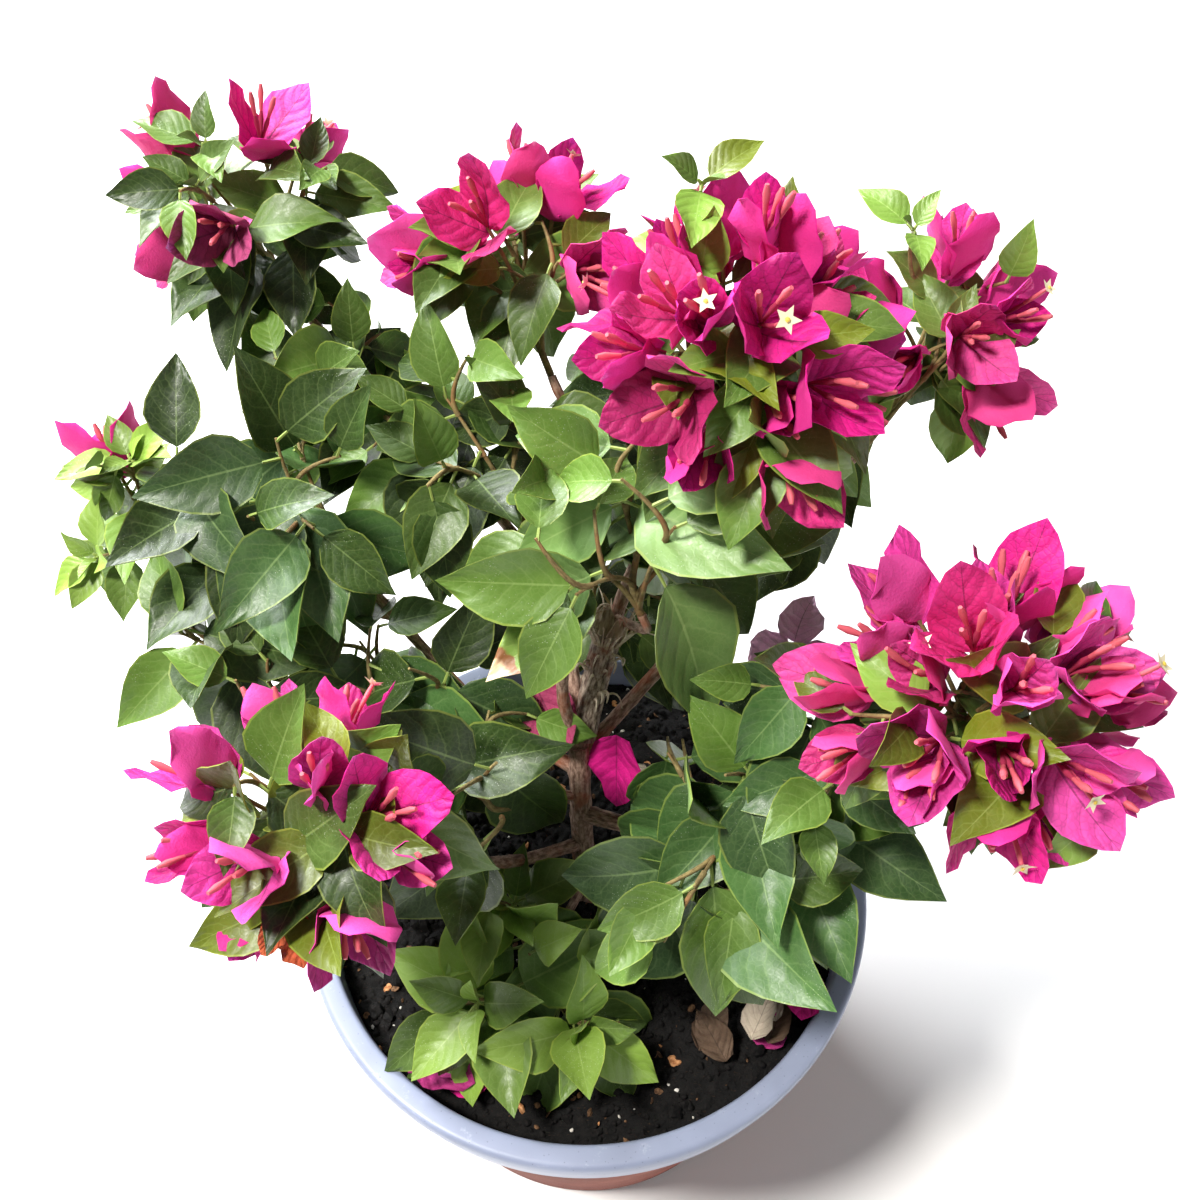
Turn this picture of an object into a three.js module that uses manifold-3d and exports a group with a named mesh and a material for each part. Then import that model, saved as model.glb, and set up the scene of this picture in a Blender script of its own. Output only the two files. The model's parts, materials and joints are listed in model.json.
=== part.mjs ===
// A bougainvillea bush in its pot: a short trunk with a broken stub, twenty boughs, and on each bough a mass of
// twigs, leaves and papery bracts. Millimetres, +Z up, +Y to the back, origin at the centre of the pot's underside.

import * as THREE from "three";
import { mergeVertices } from "three/addons/utils/BufferGeometryUtils.js";
import Module from "manifold-3d";

const wasm = await Module();
wasm.setup();

// ---- Driving dimensions -------------------------------------------------------------------------------------

const GAP = 0.3; // clearance between pieces that touch
const FINEST = 0.02; // slivers finer than this are smoothed out of a joined solid
const GOLDEN_ANGLE = Math.PI * (3 - Math.sqrt(5));

const POT = { height: 192, rimRadius: 130, footRadius: 97, wall: 5, floor: 6, bevel: 2, sides: 32 };
const RIM = { height: 25, lip: 11, flare: 3, roll: 4, ledge: 4, rollSteps: 4 };
const SOIL = { depthBelowRim: 15, flatRadius: 24, relief: 3, rings: 3 };
const TRUNK = { footRadius: 9, radius: 5.4, tipRadius: 4.4, flareHeight: 24, sides: 10, steps: 9 };
const STUB = { radius: 5.2, tipRadius: 5.6, sides: 9, steps: 4 };
const BOUGH = { sides: 5, steps: 4 };
const TWIG = { stemRadius: 1.7, radius: 1.25, tipRadius: 0.8, rootDepth: 0.2, sides: 3, steps: 2 };
const LEAF = { width: 0.31, petiole: 0.16, widest: 0.46, fold: 0.22, bend: 0.16, thick: 0.016 };
const BRACT = { length: 33, width: 0.36, widest: 0.46, fold: 0.18, bend: -0.2, thick: 0.02 };

// How shoots and flower heads stand in their mass. A pair of numbers is a value at the start and at the end, or a
// least value and how much chance adds.
const SHOOT = {
  cover: 1.15, wobble: 0.6, root: [0.3, 0.65], tip: [0.42, 0.16], lean: 0.3, lift: 0.35,
  leafSpan: [0.34, 0.97], youthFrom: 0.45, hang: [1.1, 0.1], hangSpread: [0.6, 0.8], ahead: [0.2, 0.75],
  aside: [1, 0.7], leafSize: [1, 0.6], sizeSpread: [0.86, 0.28], rollSpread: 0.7,
};
const HEAD = {
  cover: 1.05, wobble: 0.5, stalkFrom: [0.5, 1], foot: [0.46, 0.16], bracts: 3, bractAt: 0.98, bractStep: 0.04,
  open: [0.52, 0.42], sizeSpread: [0.88, 0.2],
};

const soilTop = POT.height - SOIL.depthBelowRim;

// The trunk's line, from the soil to the fork, and the stub that stands on the fork.
const trunkLine = [
  [0, 0, soilTop + GAP],
  [-2, 8, 222],
  [-3, 22, 268],
];
const stubLine = [
  [-1, 25, 269],
  [4, 37, 292],
  [10, 47, 316],
];

// The crown is open from EYE to these places, each with a radius: in front of the bare trunk and stub, and between the
// masses to the sky behind.
const EYE = [6, -245, 710];
const OPENINGS = [
  { place: [16, 54, 300], radius: 7 },
  { place: [9, 30, 290], radius: 6 },
  { place: [-2, 31, 240], radius: 5 },
  { place: [1, 11, 215], radius: 5 },
  { place: [-163, 297, 136], radius: 2 },
  { place: [-114, 227, 136], radius: 1 },
  { place: [163, 211, 178], radius: 14 },
  { place: [139, 178, 178], radius: 8 },
  { place: [184, 230, 192], radius: 10 },
];

// Each bough leaves its parent at a share of the parent's length, passes `via` and ends at `tip`, where its mass of
// foliage starts. A mass fills the ellipsoid of half sizes `reach` round `centre`: `shoots` twigs with `leaves` leaves
// each, of up to `leaf` long, and `heads` flower heads.
const BRANCHES = [
  { name: "big_centre", from: "trunk", at: 0.97, via: [16, 60, 324], tip: [38, 62, 392], radii: [3.6, 2.2],
    centre: [51, 68, 436], reach: [60, 66, 72], shoots: 4, leaves: 4, leaf: 46, heads: 10, seed: 11 },
  { name: "right", from: "trunk", at: 0.62, via: [42, -8, 250], tip: [118, -22, 330], radii: [3.9, 2.2],
    centre: [134, -27, 373], reach: [68, 62, 62], shoots: 3, leaves: 4, leaf: 44, heads: 10, seed: 12 },
  { name: "leader", from: "trunk", at: 0.99, via: [-7, 52, 294], tip: [-22, 88, 322], radii: [3.2, 2.2],
    centre: [-44, 112, 354], reach: [66, 60, 62], shoots: 4, leaves: 5, leaf: 52, heads: 0, seed: 13 },
  { name: "top_middle", from: "leader", at: 0.6, via: [2, 108, 340], tip: [-14, 138, 372], radii: [2.4, 1.9],
    centre: [-27, 163, 407], reach: [56, 52, 56], shoots: 3, leaves: 5, leaf: 46, heads: 5, seed: 14 },
  { name: "top_left", from: "leader", at: 0.9, via: [-70, 150, 322], tip: [-128, 200, 352], radii: [2.3, 1.9],
    centre: [-147, 224, 391], reach: [68, 64, 68], shoots: 3, leaves: 6, leaf: 46, heads: 5, seed: 15 },
  { name: "right_back", from: "trunk", at: 0.93, via: [46, 66, 288], tip: [118, 120, 348], radii: [3.2, 2],
    centre: [143, 140, 389], reach: [46, 50, 58], shoots: 3, leaves: 4, leaf: 44, heads: 5, seed: 16 },
  { name: "front_left", from: "trunk", at: 0.42, via: [-34, -18, 238], tip: [-74, -42, 294], radii: [3, 2],
    centre: [-91, -52, 334], reach: [70, 52, 54], shoots: 4, leaves: 5, leaf: 50, heads: 5, seed: 17 },
  { name: "left", from: "trunk", at: 0.86, via: [-46, 44, 262], tip: [-92, 78, 302], radii: [3.2, 2.2],
    centre: [-123, 92, 339], reach: [84, 70, 74], shoots: 5, leaves: 5, leaf: 64, heads: 0, seed: 18 },
  { name: "far_left", from: "left", at: 0.9, via: [-140, 88, 292], tip: [-176, 98, 298], radii: [1.9, 1.7],
    centre: [-190, 102, 322], reach: [48, 48, 56], shoots: 2, leaves: 6, leaf: 38, heads: 1, seed: 19 },
  { name: "left_low", from: "left", at: 0.72, via: [-98, 52, 270], tip: [-122, 46, 280], radii: [1.9, 1.7],
    centre: [-138, 44, 302], reach: [60, 54, 62], shoots: 2, leaves: 5, leaf: 58, heads: 0, seed: 20 },
  { name: "left_middle", from: "left", at: 0.45, via: [-52, 38, 258], tip: [-62, 34, 262], radii: [1.9, 1.7],
    centre: [-78, 42, 286], reach: [70, 62, 64], shoots: 3, leaves: 5, leaf: 64, heads: 0, seed: 21 },
  { name: "inner_left", from: "top_left", at: 0.5, via: [-84, 158, 312], tip: [-94, 160, 314], radii: [1.8, 1.7],
    centre: [-109, 169, 336], reach: [68, 62, 62], shoots: 4, leaves: 5, leaf: 54, heads: 0, seed: 22 },
  { name: "centre", from: "big_centre", at: 0.42, via: [24, 34, 334], tip: [22, 34, 344], radii: [2, 1.7],
    centre: [20, 40, 374], reach: [76, 64, 74], shoots: 5, leaves: 5, leaf: 58, heads: 0, seed: 23 },
  { name: "front_inner", from: "trunk", at: 0.72, via: [-18, 6, 254], tip: [-30, -4, 262], radii: [2.2, 1.8],
    centre: [-42, -9, 286], reach: [70, 62, 66], shoots: 4, leaves: 5, leaf: 62, heads: 0, seed: 24 },
  { name: "right_low", from: "right", at: 0.3, via: [44, -16, 248], tip: [48, -22, 254], radii: [2, 1.7],
    centre: [56, -24, 276], reach: [84, 70, 72], shoots: 5, leaves: 5, leaf: 62, heads: 0, seed: 25 },
  { name: "right_middle", from: "right", at: 0.66, via: [86, -10, 294], tip: [90, -8, 302], radii: [1.9, 1.7],
    centre: [92, -6, 324], reach: [62, 60, 64], shoots: 3, leaves: 5, leaf: 48, heads: 0, seed: 26 },
  { name: "front_low", from: "trunk", at: 0.12, via: [-12, -26, 187], tip: [-20, -44, 187], radii: [2.2, 1.8],
    centre: [-24, -56, 203], reach: [74, 64, 54], shoots: 3, leaves: 7, leaf: 56, heads: 0, seed: 27 },
  { name: "back_right", from: "right_back", at: 0.5, via: [72, 104, 300], tip: [80, 114, 302], radii: [1.9, 1.7],
    centre: [84, 132, 326], reach: [60, 62, 60], shoots: 4, leaves: 5, leaf: 52, heads: 0, seed: 28 },
  { name: "back", from: "leader", at: 0.7, via: [4, 116, 302], tip: [14, 134, 304], radii: [2, 1.7],
    centre: [26, 160, 322], reach: [66, 64, 62], shoots: 4, leaves: 5, leaf: 50, heads: 0, seed: 29 },
  { name: "back_low", from: "leader", at: 0.22, via: [0, 62, 262], tip: [4, 74, 258], radii: [2, 1.7],
    centre: [10, 98, 258], reach: [66, 50, 50], shoots: 4, leaves: 5, leaf: 54, heads: 0, seed: 30 },
];

const finish = (color, roughness) => new THREE.MeshStandardMaterial({ color, roughness, metalness: 0 });
const MATERIALS = {
  terracotta: finish(0xb06a54, 0.85),
  rim: finish(0xaab4c8, 0.45),
  soil: finish(0x1d1714, 1),
  bark: finish(0x7a5f4c, 0.9),
  foliage: finish(0x4c7a35, 0.5),
  blossom: finish(0xb8207c, 0.6),
};

// ---- Vectors, paths and solids ------------------------------------------------------------------------------

const UP = new THREE.Vector3(0, 0, 1);
const LIGHT = new THREE.Vector3(0, -0.5, 0.86).normalize(); // the side that the leaves turn their faces to
const HANG = new THREE.Vector3(0, -0.45, -1).normalize(); // the way that heavy leaves hang
const point = (xyz) => new THREE.Vector3(...xyz);
const mix = (a, b, share) => a + (b - a) * share;
const least = ([value, chance], draw) => value + chance * draw();

// The sum of [vector, factor] pairs.
function sum(...terms) {
  const total = new THREE.Vector3();
  for (const [vector, factor] of terms) total.addScaledVector(vector, factor);
  return total;
}

// A repeatable stream of numbers from 0 to 1.
function randomFrom(seed) {
  let state = seed >>> 0;
  return () => {
    state = (state + 0x6d2b79f5) >>> 0;
    let t = Math.imul(state ^ (state >>> 15), state | 1);
    t ^= t + Math.imul(t ^ (t >>> 7), t | 61);
    return ((t ^ (t >>> 14)) >>> 0) / 4294967296;
  };
}

// Two directions square to `axis` and to each other.
function across(axis) {
  const reference = Math.abs(axis.x) < 0.9 ? new THREE.Vector3(1, 0, 0) : new THREE.Vector3(0, 1, 0);
  const side = new THREE.Vector3().crossVectors(axis, reference).normalize();
  return [side, new THREE.Vector3().crossVectors(axis, side)];
}

// The direction that leaves `axis` by the angle `polar`, turned round it by `turn`.
function leaning(axis, polar, turn) {
  const [side, other] = across(axis);
  const radial = sum([side, Math.cos(turn)], [other, Math.sin(turn)]);
  return sum([axis, Math.cos(polar)], [radial, Math.sin(polar)]);
}

// Paths are lists of places. A limb's path is smooth through its places, a twig's is an arc drawn to `control`.
const pathThrough = (places, steps) => new THREE.CatmullRomCurve3(places, false, "catmullrom", 0.5).getPoints(steps);
const arc = (start, control, end) => new THREE.QuadraticBezierCurve3(start, control, end).getPoints(TWIG.steps);

// The place and the direction at a share of a path.
function along(path, share) {
  const steps = path.length - 1;
  const i = Math.min(Math.floor(share * steps), steps - 1);
  const place = new THREE.Vector3().lerpVectors(path[i], path[i + 1], share * steps - i);
  return { place, direction: sum([path[i + 1], 1], [path[i], -1]).normalize() };
}

function geometryOf(corners, faces) {
  const geometry = new THREE.BufferGeometry();
  geometry.setAttribute("position", new THREE.Float32BufferAttribute(corners.flatMap((c) => c.toArray()), 3));
  geometry.setIndex(faces.flat());
  return geometry;
}

// A closed tube round a path, with its radius worked out from the share of the path.
function tube(path, sides, radiusAt) {
  const last = path.length - 1;
  const corners = [];
  const faces = [];
  let side = across(along(path, 0).direction)[0];
  path.forEach((centre, i) => {
    const before = along(path, Math.max(0, i - 0.5) / last).direction;
    const after = along(path, Math.min(last, i + 0.5) / last).direction;
    const direction = (i === 0 ? before : before.add(after)).normalize();
    side = sum([side, 1], [direction, -side.dot(direction)]).normalize();
    const other = new THREE.Vector3().crossVectors(direction, side);
    for (let k = 0; k < sides; k++) {
      const turn = (2 * Math.PI * k) / sides;
      const radius = radiusAt(i / last);
      corners.push(sum([centre, 1], [side, Math.cos(turn) * radius], [other, Math.sin(turn) * radius]));
    }
  });
  for (let i = 0; i < last; i++)
    for (let k = 0; k < sides; k++) {
      const a = i * sides + k;
      const b = i * sides + ((k + 1) % sides);
      faces.push([a, b, b + sides], [a, b + sides, a + sides]);
    }
  const end = last * sides;
  for (let k = 1; k < sides - 1; k++) faces.push([0, k + 1, k], [end, end + k, end + k + 1]);
  return geometryOf(corners, faces);
}

function toSolid(geometry) {
  const bare = geometry.clone();
  bare.deleteAttribute("normal");
  bare.deleteAttribute("uv");
  const merged = mergeVertices(bare, 1e-4);
  const mesh = new wasm.Mesh({
    numProp: 3,
    vertProperties: Float32Array.from(merged.attributes.position.array),
    triVerts: Uint32Array.from(merged.index.array),
  });
  return new wasm.Manifold(mesh);
}

function toGeometry(solid) {
  const mesh = solid.getMesh();
  const geometry = new THREE.BufferGeometry();
  geometry.setAttribute("position", new THREE.Float32BufferAttribute(mesh.vertProperties, 3));
  geometry.setIndex([...mesh.triVerts]);
  geometry.computeVertexNormals();
  return geometry;
}

// The one body that a join or cut leaves, with its slivers smoothed, loose scraps dropped and sealed hollows filled.
const largestBody = (solid) => solid.simplify(FINEST).decompose().sort((a, b) => b.volume() - a.volume())[0];

// Whether each edge still joins just two faces once the vertices are rounded to 1/precision mm.
function closedAt(precision, { vertProperties, triVerts }) {
  const name = (v) => Array.from(vertProperties.subarray(3 * v, 3 * v + 3), (c) => Math.round(c * precision)).join();
  const names = Array.from({ length: vertProperties.length / 3 }, (_, v) => name(v));
  const uses = new Map();
  for (let t = 0; t < triVerts.length; t += 3) {
    const corners = [names[triVerts[t]], names[triVerts[t + 1]], names[triVerts[t + 2]]];
    if (new Set(corners).size < 3) continue;
    corners.forEach((corner, k) => {
      const edge = [corner, corners[(k + 1) % 3]].sort().join("|");
      uses.set(edge, (uses.get(edge) ?? 0) + 1);
    });
  }
  return [...uses.values()].every((count) => count === 2);
}

// Two solids joined, or the first alone where the joint would leave slivers that don't survive rounding.
function join(whole, piece) {
  const joined = largestBody(whole.add(piece));
  const mesh = joined.getMesh();
  return closedAt(1e3, mesh) && closedAt(1e4, mesh) ? joined : whole;
}

const boxesMeet = (a, b) => [0, 1, 2].every((k) => a.min[k] <= b.max[k] && b.min[k] <= a.max[k]);

const boxed = (solid) => ({ solid, box: solid.boundingBox() });

function overlaps(solid, others) {
  const box = solid.boundingBox();
  return others.some((other) => boxesMeet(box, other.box) && solid.intersect(other.solid).volume() > 0);
}

// ---- Pot and soil -------------------------------------------------------------------------------------------

const rimBottom = POT.height - RIM.height;
const bodyTopRadius = POT.rimRadius - RIM.flare - RIM.ledge;
const insideRadiusAt = (z) => mix(POT.footRadius, bodyTopRadius, z / rimBottom) - POT.wall;

const lathe = (profile) =>
  new THREE.LatheGeometry(profile.map(([r, z]) => new THREE.Vector2(r, z)), POT.sides).rotateX(Math.PI / 2);

function potBody() {
  return lathe([
    [0, 0],
    [POT.footRadius - POT.bevel, 0],
    [POT.footRadius, POT.bevel],
    [bodyTopRadius, rimBottom - GAP],
    [insideRadiusAt(rimBottom), rimBottom - GAP],
    [insideRadiusAt(POT.floor), POT.floor],
    [0, POT.floor],
  ]);
}

// The band round the mouth, with a lip that is rolled over at the top.
function potRim() {
  const lipCentre = POT.rimRadius - RIM.lip / 2;
  const roll = [];
  for (let i = 0; i <= RIM.rollSteps; i++) {
    const turn = (Math.PI * i) / RIM.rollSteps;
    roll.push([lipCentre + (Math.cos(turn) * RIM.lip) / 2, POT.height - RIM.roll * (1 - Math.sin(turn))]);
  }
  const insideFoot = [insideRadiusAt(rimBottom), rimBottom];
  return lathe([insideFoot, [POT.rimRadius - RIM.flare, rimBottom], ...roll, insideFoot]);
}

// Soil that fills the pot, uneven outside the flat patch that the trunk stands on.
function soil() {
  const edge = insideRadiusAt(rimBottom) - GAP;
  const profile = [
    [0, POT.floor + GAP],
    [insideRadiusAt(POT.floor) - GAP, POT.floor + GAP],
    [edge, rimBottom],
    [edge, soilTop - SOIL.relief],
  ];
  for (let i = SOIL.rings - 1; i >= 0; i--) profile.push([mix(SOIL.flatRadius, edge, i / SOIL.rings), soilTop]);
  profile.push([0, soilTop]);
  const geometry = lathe(profile);
  const places = geometry.attributes.position;
  for (let i = 0; i < places.count; i++) {
    const [x, y, z] = [places.getX(i), places.getY(i), places.getZ(i)];
    const swell = Math.sin(x / 9) * Math.cos(y / 11) - 0.5;
    if (z > rimBottom && Math.hypot(x, y) > SOIL.flatRadius + 1) places.setZ(i, z + SOIL.relief * swell);
  }
  return geometry;
}

// ---- Trunk and boughs ---------------------------------------------------------------------------------------

// A limb's solid, grown by a clearance where its neighbours are cut.
function limb(path, sides, radiusAt) {
  return { path, solid: (clearance) => toSolid(tube(path, sides, (share) => radiusAt(share) + clearance)) };
}

// The trunk stands on a flat foot that flares out, so its first length runs straight up.
function trunkLimb() {
  const [foot, middle, fork] = trunkLine.map(point);
  const path = [foot, ...pathThrough([sum([foot, 1], [UP, 4]), middle, fork], TRUNK.steps)];
  const height = fork.z - foot.z;
  const flare = (share) => Math.max(0, 1 - (share * height) / TRUNK.flareHeight) ** 2;
  const spread = TRUNK.footRadius - TRUNK.radius;
  return limb(path, TRUNK.sides, (share) => mix(TRUNK.radius, TRUNK.tipRadius, share) + spread * flare(share));
}

const stubLimb = () =>
  limb(pathThrough(stubLine.map(point), STUB.steps), STUB.sides, (share) => mix(STUB.radius, STUB.tipRadius, share));

function boughLimb(branch, parent) {
  const places = [along(parent.path, branch.at).place, point(branch.via), point(branch.tip)];
  return limb(pathThrough(places, BOUGH.steps), BOUGH.sides, (share) => mix(branch.radii[0], branch.radii[1], share));
}

const cutClear = (solid, others) => largestBody(others.reduce((left, other) => left.subtract(other), solid));

// ---- Twigs, leaves and flower heads -------------------------------------------------------------------------

// One twig with its leaves: wide hanging ones low down, small ones that point forward at the tip.
function growShoot(mass, stem, outward, index, draw) {
  const polar = Math.acos(1 - ((index + 0.5) / mass.shoots) * SHOOT.cover);
  const turn = index * GOLDEN_ANGLE + mass.seed + SHOOT.wobble * (draw() - 0.5);
  const direction = leaning(outward, polar, turn);
  const start = along(stem, least(SHOOT.root, draw)).place;
  const tip = sum([mass.centre, 1], [direction.multiply(mass.reach), least(SHOOT.tip, draw)]);
  const lift = tip.distanceTo(start) * SHOOT.lift;
  const path = arc(start, sum([start, 1 - SHOOT.lean], [tip, SHOOT.lean], [outward, lift]), tip);
  const phase = 2 * Math.PI * draw();
  const blades = [];
  for (let k = 0; k < mass.leaves; k++) {
    const share = mix(...SHOOT.leafSpan, k / (mass.leaves - 1));
    const youth = Math.max(0, (share - SHOOT.youthFrom) / (1 - SHOOT.youthFrom));
    const { place, direction: ahead } = along(path, share);
    const aside = leaning(ahead, Math.PI / 2, phase + k * GOLDEN_ANGLE);
    const hang = mix(...SHOOT.hang, youth) * least(SHOOT.hangSpread, draw);
    const heading = sum([ahead, mix(...SHOOT.ahead, youth)], [aside, mix(...SHOOT.aside, youth)], [HANG, hang]);
    const length = mass.leaf * mix(...SHOOT.leafSize, youth) * least(SHOOT.sizeSpread, draw);
    blades.push({ root: place, heading: heading.normalize(), roll: SHOOT.rollSpread * (draw() - 0.5), length });
  }
  return { path, blades };
}

// A flower head on its stalk: three bracts round the line that the head looks along.
function growHead(mass, stem, outward, index, draw) {
  const share = (index + 0.5) / mass.heads;
  const turn = index * GOLDEN_ANGLE + mass.seed * 2 + HEAD.wobble * (draw() - 0.5);
  const facing = leaning(outward, Math.acos(1 - share * HEAD.cover), turn);
  const foot = sum([mass.centre, 1], [facing.clone().multiply(mass.reach), least(HEAD.foot, draw)]);
  const path = [along(stem, mix(...HEAD.stalkFrom, share)).place, foot];
  const phase = 2 * Math.PI * draw();
  const bracts = [];
  for (let k = 0; k < HEAD.bracts; k++) {
    const root = along(path, HEAD.bractAt - HEAD.bractStep * k).place;
    const heading = leaning(facing, least(HEAD.open, draw), phase + (2 * Math.PI * k) / HEAD.bracts);
    bracts.push({ root, heading, roll: 0, length: BRACT.length * least(HEAD.sizeSpread, draw) });
  }
  return { path, facing, bracts };
}

// All that grows on one bough: a stem to the mass's centre, with its shoots and flower heads.
function growMass(branch, bough) {
  const { place: boughTip, direction: ahead } = along(bough.path, 1);
  const mass = { ...branch, centre: point(branch.centre), reach: point(branch.reach) };
  const foot = sum([boughTip, 1], [ahead, GAP]);
  const reach = foot.distanceTo(mass.centre);
  const stem = [foot, ...arc(sum([foot, 1], [ahead, 2]), sum([foot, 1], [ahead, reach / 2]), mass.centre)];
  const outward = sum([mass.centre, 1], [foot, -1]).normalize().add(LIGHT).normalize();
  const draw = randomFrom(mass.seed);
  const shoots = [];
  const heads = [];
  for (let i = 0; i < mass.shoots; i++) shoots.push(growShoot(mass, stem, outward, i, draw));
  for (let i = 0; i < mass.heads; i++) heads.push(growHead(mass, stem, outward, i, draw));
  return { mass, foot, stem, shoots, heads };
}

// A folded, bent blade as a thin closed solid of eight faces. `facing` is the side that its upper face turns to.
function blade({ root, heading, roll, length }, facing, shape) {
  const normal = sum([facing, 1], [heading, -facing.dot(heading)]).normalize().applyAxisAngle(heading, roll);
  const side = new THREE.Vector3().crossVectors(normal, heading);
  const half = length * shape.width;
  const thick = (length * shape.thick) / 2;
  const sag = (share) => -shape.bend * length * share ** 2;
  const spread = (share, out, up) => sum([root, 1], [heading, share * length], [side, out], [normal, up]);
  const middle = shape.widest;
  const edge = sag(middle) + shape.fold * half;
  const corners = [
    spread(-TWIG.rootDepth / length, 0, 0),
    spread(middle, 0, sag(middle) + thick),
    spread(middle, 0, sag(middle) - thick),
    spread(middle, half, edge),
    spread(middle, -half, edge),
    spread(1, 0, sag(1)),
  ];
  const faces = [
    [0, 1, 3], [0, 4, 1], [1, 5, 3], [1, 4, 5],
    [0, 3, 2], [0, 2, 4], [2, 3, 5], [2, 5, 4],
  ];
  return toSolid(geometryOf(corners, faces));
}

const stalked = (leaf) => ({ ...leaf, length: leaf.length * (1 + LEAF.petiole) });
const twigSolid = (path, from, to) => toSolid(tube(path, TWIG.sides, (share) => mix(from, to, share)));

// Whether a blade reaches into one of the crown's openings. A blade is tested at shares of its length, each with a
// share of its half width.
const BLADE_TESTS = [
  [0.3, 0.7],
  [0.6, 0.8],
  [1, 0],
];
function inOpening({ root, heading, length }) {
  return OPENINGS.some((opening) => {
    const line = sum([point(opening.place), 1], [point(EYE), -1]);
    const depth = line.length();
    return BLADE_TESTS.some(([share, half]) => {
      const place = sum([root, 1], [heading, length * share], [point(EYE), -1]);
      const aside = place.clone().cross(line).length() / depth;
      return place.dot(line) < depth ** 2 && aside < opening.radius + half * LEAF.width * length;
    });
  });
}

// Whether a blade's tip is in the mass's own space.
function inSpace(mass, { root, heading, length }) {
  const tip = sum([root, 1], [heading, length], [mass.centre, -1]);
  return tip.divide(mass.reach).length() <= 1;
}

// The mass as one solid. A twig or blade that touches a limb or another mass is skipped, and so is a blade that would
// cross one of another twig, and a leaf that leaves the mass's space or closes an opening.
function massSolid({ mass, stem, shoots, heads }, neighbours) {
  let whole = twigSolid(stem, TWIG.stemRadius, TWIG.radius);
  const obstacles = [...neighbours];
  const addTwig = (path, tipRadius, blades, facing, shape) => {
    const twig = twigSolid(path, TWIG.radius, tipRadius);
    if (overlaps(twig, neighbours)) return;
    const kept = blades
      .map((one) => blade(one, facing, shape))
      .filter((solid) => !overlaps(solid, obstacles));
    obstacles.push(...kept.map(boxed));
    whole = kept.reduce(join, join(whole, twig));
  };
  for (const head of heads) addTwig(head.path, TWIG.radius, head.bracts, head.facing, BRACT);
  for (const shoot of shoots) {
    const leaves = shoot.blades.filter((leaf) => inSpace(mass, leaf) && !inOpening(leaf)).map(stalked);
    addTwig(shoot.path, TWIG.tipRadius, leaves, LIGHT, LEAF);
  }
  return whole;
}

// ---- Assembly -----------------------------------------------------------------------------------------------

const bush = new THREE.Group();
const placed = [];

function addMesh(name, geometry, material, at = new THREE.Vector3()) {
  geometry.translate(-at.x, -at.y, -at.z);
  const mesh = new THREE.Mesh(geometry, material);
  mesh.name = name;
  mesh.position.copy(at);
  bush.add(mesh);
}

const potPieces = [
  ["pot_body", potBody(), MATERIALS.terracotta],
  ["pot_rim", potRim(), MATERIALS.rim],
  ["soil", soil(), MATERIALS.soil],
];
for (const [name, geometry, material] of potPieces) {
  placed.push(boxed(toSolid(geometry)));
  addMesh(name, geometry, material);
}

const limbs = { trunk: trunkLimb() };
const clearances = [];

function addLimb(name, piece) {
  addMesh(name, toGeometry(cutClear(piece.solid(0), clearances)), MATERIALS.bark);
  clearances.push(piece.solid(GAP));
}

addLimb("trunk", limbs.trunk);
addLimb("broken_stub", stubLimb());
for (const branch of BRANCHES) {
  limbs[branch.name] = boughLimb(branch, limbs[branch.from]);
  addLimb(`bough_${branch.name}`, limbs[branch.name]);
}
placed.push(...clearances.map(boxed));

for (const branch of BRANCHES) {
  const growth = growMass(branch, limbs[branch.name]);
  const solid = massSolid(growth, placed);
  placed.push(boxed(solid));
  const material = branch.heads > 0 ? MATERIALS.blossom : MATERIALS.foliage;
  addMesh(`foliage_${branch.name}`, toGeometry(solid), material, growth.foot);
}

export default bush;
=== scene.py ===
"""A bougainvillea bush in its pot, grown bough by bough by the rule of its solids, and then to finer twigs.

Sizes and places are millimetres, and become metres where a mesh is made. Up is +Z, the back is +Y, and the
origin is the centre of the pot's underside.
"""

import json
import math
import random
from dataclasses import dataclass, field
from types import SimpleNamespace

import bpy
import numpy as np
from mathutils import Euler, Matrix, Vector, noise

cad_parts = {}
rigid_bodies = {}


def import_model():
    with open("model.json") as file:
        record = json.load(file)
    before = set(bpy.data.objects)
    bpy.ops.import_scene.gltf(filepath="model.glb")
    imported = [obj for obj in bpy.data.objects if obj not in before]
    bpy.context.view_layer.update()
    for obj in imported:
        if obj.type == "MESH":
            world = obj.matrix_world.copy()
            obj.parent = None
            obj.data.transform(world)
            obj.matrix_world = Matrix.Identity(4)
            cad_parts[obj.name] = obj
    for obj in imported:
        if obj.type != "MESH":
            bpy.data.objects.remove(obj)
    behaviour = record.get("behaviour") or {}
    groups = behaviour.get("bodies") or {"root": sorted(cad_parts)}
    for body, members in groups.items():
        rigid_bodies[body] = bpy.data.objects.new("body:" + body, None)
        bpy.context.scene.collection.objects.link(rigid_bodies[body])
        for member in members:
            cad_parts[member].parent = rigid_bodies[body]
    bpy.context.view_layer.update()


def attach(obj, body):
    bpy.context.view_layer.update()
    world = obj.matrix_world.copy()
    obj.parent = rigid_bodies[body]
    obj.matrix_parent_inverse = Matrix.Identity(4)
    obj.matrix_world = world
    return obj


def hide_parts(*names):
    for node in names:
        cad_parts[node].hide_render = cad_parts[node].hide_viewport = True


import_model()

# ---- Driving dimensions ----

MM = 0.001
GAP = 0.3
GOLDEN_ANGLE = math.pi * (3 - math.sqrt(5))

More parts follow.
